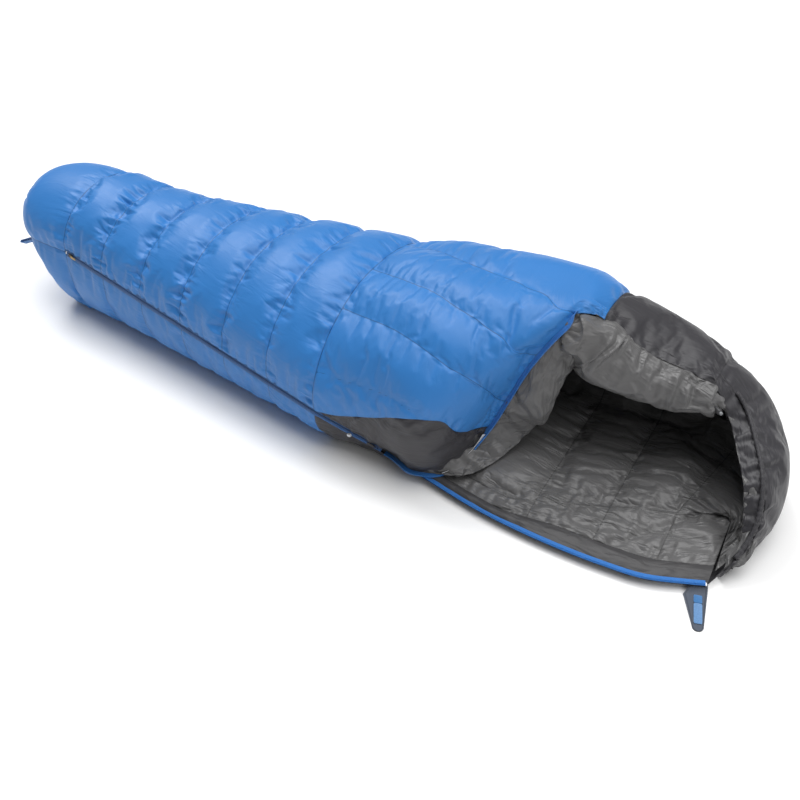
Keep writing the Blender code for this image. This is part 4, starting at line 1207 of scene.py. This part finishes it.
def closure_tab():
    """The tapered tab at the zip's top corner, with its two hook-and-loop patches."""
    root_a, root_b = np.array([2.027, -0.262, 0.0]), np.array([2.074, -0.238, 0.0])
    tip, radius = np.array([2.081, -0.331, 0.0]), 0.0125
    turn = math.atan2(-0.30, -1.0) + math.pi * 1.02 * np.linspace(0, 1, 15)
    cap = tip + radius * np.stack([np.cos(turn), np.sin(turn), 0 * turn], -1)
    top_a, top_b = root_a + np.array([0.006, 0.026, 0.009]), root_b + np.array([-0.006, 0.018, 0.009])
    rows = [(mix(top_a, root_a, k), mix(top_b, root_b, k)) for k in np.linspace(0, 1, 5)[:-1]]
    rows += [(mix(root_a, cap[0], k), mix(root_b, cap[-1], k)) for k in np.linspace(0, 1, 16)]
    rows += [(cap[k], cap[-1 - k]) for k in range(1, 7)]
    a, b = (np.array([row[i] for row in rows]) for i in (0, 1))
    grid = mix(a[:, None], b[:, None], np.linspace(0, 1, 13)[None, :, None])
    grid[..., 2] += 0.0022 + 0.0010 * noise_field(grid.shape[:2], (4, 2), 131)
    piece = grid_mesh("closure_tab_cloth", grid)
    dress(piece, grid, seam_distance(grid, [], [1, 11]))
    piece.data.materials.append(TAB)
    thick = piece.modifiers.new("thick", "SOLIDIFY")
    thick.thickness = 0.0024
    soft = piece.modifiers.new("soft", "BEVEL")
    soft.width = 0.0006
    soft.segments = 2
    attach(piece, "closure_tab")
    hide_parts("closure_tab")
    base = root_a * 0.40 + root_b * 0.60
    along = unit(tip - base)
    side = np.array([-along[1], along[0], 0.0])
    place = (base + np.array([0, 0, 0.0016]), along, side, np.array([0, 0, 1.0]))
    for name, low, high, paint, slot in (("hook_patch", 0.004, 0.026, HOOK, "hook_fabric"),
                                         ("loop_patch", 0.0268, 0.082, LOOP, "loop_fabric")):
        shape = oval((low + high) / 2, (high - low) / 2, 0.0092, 32, 9)
        patch = plate(f"{name}_pile", shape, 0.0012, 0.0030, place, paint, slot, "closure_tab", 0.0005)
        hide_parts(name)


def foot_loop():
    """The doubled webbing loop at the foot end, with its cross-stitched root."""
    root, side = np.array([-0.034, -0.140, 0.212]), np.array([0.35, -0.60, 0.72])
    out = unit(np.array([-0.90, -0.06, -0.43]))
    side = unit(side - out * (side @ out))
    thick = np.cross(out, side)
    turn = math.pi * (np.linspace(0, 1, 25) - 0.5)
    bulge = 0.0030 + 0.0016 * np.cos(turn)
    loop = [root - out * 0.012 - thick * 0.0016]
    loop += [root + out * (0.056 + b * math.cos(a)) * (0 < i < 24) + thick * 0.0030 * math.sin(a)
             for i, (a, b) in enumerate(zip(turn, bulge))]
    loop.append(root - out * 0.012 + thick * 0.0016)
    path = columns_at(np.linspace(0, 1, 90), np.array(loop), np.array(loop))
    grid = path[:, None] + side * np.linspace(-0.0085, 0.0085, 15)[None, :, None]
    piece = grid_mesh("foot_loop_webbing", grid)
    dress(piece, grid)
    piece.data.materials.append(WEBBING)
    body = piece.modifiers.new("thick", "SOLIDIFY")
    body.thickness = 0.0014
    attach(piece, "foot_loop")
    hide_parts("foot_loop")


def zip_draft_tube():
    """The down tube that backs the closed zip, inside the bag."""
    stations = np.linspace(SEAM_ONE + 0.05, ZIP_SPLIT - 0.06, 120)
    point, _, n = zip_frames(EDGE, stations, ZIP_NORMAL)
    radius = 0.0135 * (1 + 0.18 * np.sin((stations - SEAM_ONE) / CHAMBER * 2 * math.pi))
    piece = tube_along("zip_draft_tube_roll", point - n * 0.036, radius, GREY, 20)
    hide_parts("zip_draft_tube")


# Materials


class Nodes:
    """A short way to wire a material's nodes."""

    def __init__(self, name):
        self.material = bpy.data.materials.new(name)
        self.material.use_nodes = True
        self.tree = self.material.node_tree
        self.shader = self.tree.nodes["Principled BSDF"]
        self.place = self.add("ShaderNodeTexCoord").outputs["Object"]

    def add(self, kind, values=None, links=None, **settings):
        node = self.tree.nodes.new(kind)
        for key, value in settings.items():
            setattr(node, key, value)
        for key, value in (values or {}).items():
            node.inputs[key].default_value = value
        for key, source in (links or {}).items():
            self.tree.links.new(source, node.inputs[key])
        return node

    def noise(self, vector, scale, detail, **more):
        values = {"Scale": scale, "Detail": detail, **more}
        return self.add("ShaderNodeTexNoise", values, {"Vector": vector}).outputs[0]

    def cloth(self):
        return self.add("ShaderNodeUVMap", uv_map="cloth").outputs[0]

    def weave(self, cloth, warp, weft, distortion):
        """Threads both ways across the cloth."""
        made = []
        for scale, way in ((warp, "X"), (weft, "Y")):
            values = {"Scale": scale, "Distortion": distortion}
            node = self.add("ShaderNodeTexWave", values, {"Vector": cloth}, bands_direction=way)
            made.append(node.outputs[1])
        return made

    def math(self, operation, a, b=0.0, clamp=False):
        node = self.add("ShaderNodeMath", operation=operation, use_clamp=clamp)
        for i, value in enumerate((a, b)):
            if isinstance(value, (int, float)):
                node.inputs[i].default_value = value
            else:
                self.tree.links.new(value, node.inputs[i])
        return node.outputs[0]

    def blend(self, amount, a, b):
        node = self.add("ShaderNodeMix", data_type="RGBA", links={0: amount})
        for index, value in ((6, a), (7, b)):
            if isinstance(value, tuple):
                node.inputs[index].default_value = (*value, 1.0)
            else:
                self.tree.links.new(value, node.inputs[index])
        return node.outputs[2]

    def bump(self, height, strength, distance, before=None):
        links = {"Height": height}
        if before:
            links["Normal"] = before
        node = self.add("ShaderNodeBump", {"Strength": strength, "Distance": distance}, links)
        return node.outputs[0]

    def finish(self, base, roughness, normal, **more):
        """Wires or sets the shader's inputs and returns the material."""
        inputs = {"Base Color": base, "Roughness": roughness, "Normal": normal}
        inputs.update({key.replace("_", " "): value for key, value in more.items()})
        for key, value in inputs.items():
            if isinstance(value, float):
                self.shader.inputs[key].default_value = value
            else:
                self.tree.links.new(value, self.shader.inputs[key])
        return self.material


def shade(colour, factor, lift=0.0):
    return tuple(min(c * factor + lift, 1.0) for c in colour)


def fabric(name, colour, roughness, sheen, crinkle=0.35, pull=(9.0, 34.0, 1.0)):
    """Downproof nylon: fine weave, creases drawn out across the seams, and a stitched line on them."""
    made = Nodes(name)
    cloth = made.cloth()
    seam = made.add("ShaderNodeAttribute", attribute_name="seam").outputs["Fac"]
    near_seam = made.math("SUBTRACT", 1.0, made.math("DIVIDE", seam, 0.07), clamp=True)
    base = made.blend(made.noise(made.place, 5.0, 3.0), shade(colour, 0.90), shade(colour, 1.10))
    line = made.math("LESS_THAN", seam, 0.0013)
    base = made.blend(made.math("MULTIPLY", line, 0.65), base, shade(colour, 0.35))
    fleck = made.noise(made.place, 60.0, 4.0)
    rough = made.math("ADD", made.math("MULTIPLY", fleck, 0.12), roughness - 0.06)
    threads = made.math("MAXIMUM", *made.weave(cloth, 1400.0, 1400.0, 0.4))
    drawn = made.add("ShaderNodeMapping", {"Scale": pull}, {"Vector": cloth}).outputs[0]
    creases = made.noise(drawn, 1.0, 3.0, Distortion=0.7)
    ridge = made.math("ABSOLUTE", made.math("SUBTRACT", creases, 0.5))
    ridge = made.math("MINIMUM", made.math("MULTIPLY", ridge, 5.0), 1.0)
    ridge = made.math("MULTIPLY", ridge, made.math("ADD", made.math("MULTIPLY", near_seam, 0.75), 0.25))
    normal = made.bump(threads, 0.06, 0.0002, made.bump(ridge, crinkle, 0.0045))
    return made.finish(base, rough, normal, Sheen_Weight=sheen, Sheen_Roughness=0.45,
                       Specular_IOR_Level=0.4)


def hard(name, colour, roughness, metallic=0.0, wear=0.25):
    """Moulded plastic or metal with a slightly uneven, worn surface."""
    made = Nodes(name)
    spots = made.noise(made.place, 220.0, 4.0)
    rough = made.math("ADD", made.math("MULTIPLY", spots, 0.2), roughness - 0.1)
    base = made.blend(spots, colour, shade(colour, 1 + wear, 0.02))
    return made.finish(base, rough, made.bump(spots, 0.15, 0.0003), Metallic=metallic)


def webbing(name, colour, rib=900.0, roughness=0.75):
    """Woven tape or webbing: strong ribs, with painted shade between the threads in a herringbone look."""
    made = Nodes(name)
    threads = made.math("MULTIPLY", *made.weave(made.cloth(), rib, rib * 0.6, 0.3))
    # Painted shade: darker where the threads dip, following the same height as the bump.
    base = made.blend(threads, shade(colour, 0.75), colour)
    fuzz = made.math("MULTIPLY", made.noise(made.place, 90.0, 3.0), 0.3)
    base = made.blend(fuzz, base, shade(colour, 1.3))
    return made.finish(base, roughness, made.bump(threads, 0.4, 0.0005), Sheen_Weight=0.2)


def pile(name, colour, scale, depth):
    """Hook or loop fabric: a dense fuzzy pile, with painted shade in its low parts and a painted highlight
    on its tufts.
    """
    made = Nodes(name)
    tufts = made.add("ShaderNodeTexVoronoi", {"Scale": scale}, {"Vector": made.place}).outputs[0]
    fuzz = made.noise(made.place, scale * 2, 5.0)
    height = made.math("ADD", tufts, made.math("MULTIPLY", fuzz, 0.5))
    # The colour follows the pile's height: painted shade low down, painted highlight on the tufts.
    base = made.blend(height, shade(colour, 0.6), shade(colour, 1.2))
    return made.finish(base, 0.95, made.bump(height, 0.8, depth), Sheen_Weight=0.5)


BLUE = fabric("blue_taffeta", (0.028, 0.180, 0.500), 0.46, 0.05, 0.28)
CHEST_BLUE = fabric("blue_taffeta_chest", (0.028, 0.180, 0.500), 0.48, 0.05, 0.18, (30.0, 9.0, 1.0))
CHARCOAL = fabric("charcoal_taffeta", (0.036, 0.035, 0.040), 0.46, 0.05)
GREY = fabric("grey_lining", (0.118, 0.117, 0.118), 0.36, 0.05, 0.75)
FACING_GREY = fabric("zip_facing_fabric", (0.046, 0.045, 0.047), 0.46, 0.05)
TAB = fabric("tab_cloth", (0.060, 0.075, 0.105), 0.60, 0.20, 0.2)
# Closed coil: the open coil's blue darkened as painted shade, where the puffs overhang the closed zip.
SHADED_COIL_BLUE = hard("coil_nylon", (0.012, 0.060, 0.180), 0.40)
BRIGHT_BLUE = hard("open_coil_nylon", (0.022, 0.170, 0.520), 0.35)
# Closed zip tape: the open tape's blue darkened as painted shade between the puffs.
SHADED_TAPE_BLUE = webbing("zip_tape", (0.018, 0.100, 0.300))
BRIGHT_TAPE = webbing("open_zip_tape", (0.024, 0.180, 0.560))
WHITE = webbing("label_satin", (0.72, 0.74, 0.76), 2400.0, 0.5)
WEBBING = webbing("hang_loop_webbing", (0.035, 0.170, 0.440))
HOOK = pile("hook_tape", (0.035, 0.150, 0.360), 900.0, 0.0006)
LOOP = pile("loop_tape", (0.110, 0.240, 0.460), 600.0, 0.0009)
BRASS = hard("worn_brass", (0.300, 0.215, 0.100), 0.40, 1.0, 0.6)
DARK_METAL = hard("dark_enamel", (0.045, 0.043, 0.042), 0.35, 0.8, 0.5)
BLUE_METAL = hard("blue_enamel", (0.018, 0.050, 0.130), 0.35, 0.3)
STEEL = hard("plated_steel", (0.420, 0.425, 0.430), 0.35, 1.0)
SNAP = hard("snap_metal", (0.560, 0.570, 0.590), 0.30, 0.7)
LOCK = hard("lock_nylon", (0.030, 0.030, 0.033), 0.45)
PALE_LOCK = hard("lock_button_nylon", (0.200, 0.210, 0.220), 0.45)


leg_tops()
leg_backs()
footbox()
chest_near()
gusset()
chest_far()
shoulder()
hood_shell()
torso_back()
head_bottom()
bed_facing()
bed_lining()
hood_lining()
chest_roof_lining()
leg_lining()
flap_lip()
flap_lining()
neck_roll()
collar_tail()
fold_tuck()
zips()
labels()
slider("lower", 0.166, 1, DARK_METAL, "slider_brass", BRASS, "slider_brass")
slider("upper", ZIP_SPLIT - 0.014, -1, BLUE_METAL, "slider_blue", DARK_METAL, "puller_dark")
stops_and_stud()
hood_trim()
closure_tab()
foot_loop()
zip_draft_tube()


# Stage


LENS = 42.53
AZIMUTH, ELEVATION = math.radians(30.599), math.radians(40.301)
TARGET, DISTANCE = np.array([1.1495, 0.0001, -0.0107]), 2.5969


def camera():
    data = bpy.data.cameras.new("camera")
    data.sensor_width = 36.0
    data.lens = LENS
    made = linked("camera", data)
    level = math.cos(ELEVATION)
    back = np.array([math.sin(AZIMUTH) * level, -math.cos(AZIMUTH) * level, math.sin(ELEVATION)])
    made.location = to_part(TARGET) + back * DISTANCE
    made.rotation_euler = (math.pi / 2 - ELEVATION, 0.0, AZIMUTH)
    bpy.context.scene.camera = made


def soft_sun(name, way, angle, strength):
    """A broad, even light that shines from a direction."""
    data = bpy.data.lights.new(name, "SUN")
    data.angle = math.radians(angle)
    data.energy = strength
    made = linked(name, data)
    made.rotation_euler = Vector(way).to_track_quat("Z", "Y").to_euler()


def stage():
    mesh = bmesh.new()
    bmesh.ops.create_grid(mesh, x_segments=1, y_segments=1, size=60.0)
    data = bpy.data.meshes.new("floor")
    mesh.to_mesh(data)
    mesh.free()
    floor = linked("floor", data)
    floor.location.z = -0.0006
    paint = bpy.data.materials.new("floor")
    paint.use_nodes = True
    shader = paint.node_tree.nodes["Principled BSDF"]
    shader.inputs["Base Color"].default_value = (0.93, 0.93, 0.93, 1.0)
    shader.inputs["Roughness"].default_value = 0.9
    data.materials.append(paint)
    soft_sun("top", (0.10, 0.15, 1.0), 55, 2.5)
    soft_sun("key", (-0.75, 0.45, 1.1), 24, 1.5)
    soft_sun("fill", (0.9, -0.25, 0.75), 40, 0.62)
    world = bpy.data.worlds.new("world")
    world.use_nodes = True
    world.node_tree.nodes["Background"].inputs[0].default_value = (1, 1, 1, 1)
    world.node_tree.nodes["Background"].inputs[1].default_value = 0.14
    bpy.context.scene.view_settings.view_transform = "Standard"
    bpy.context.scene.world = world


camera()
stage()
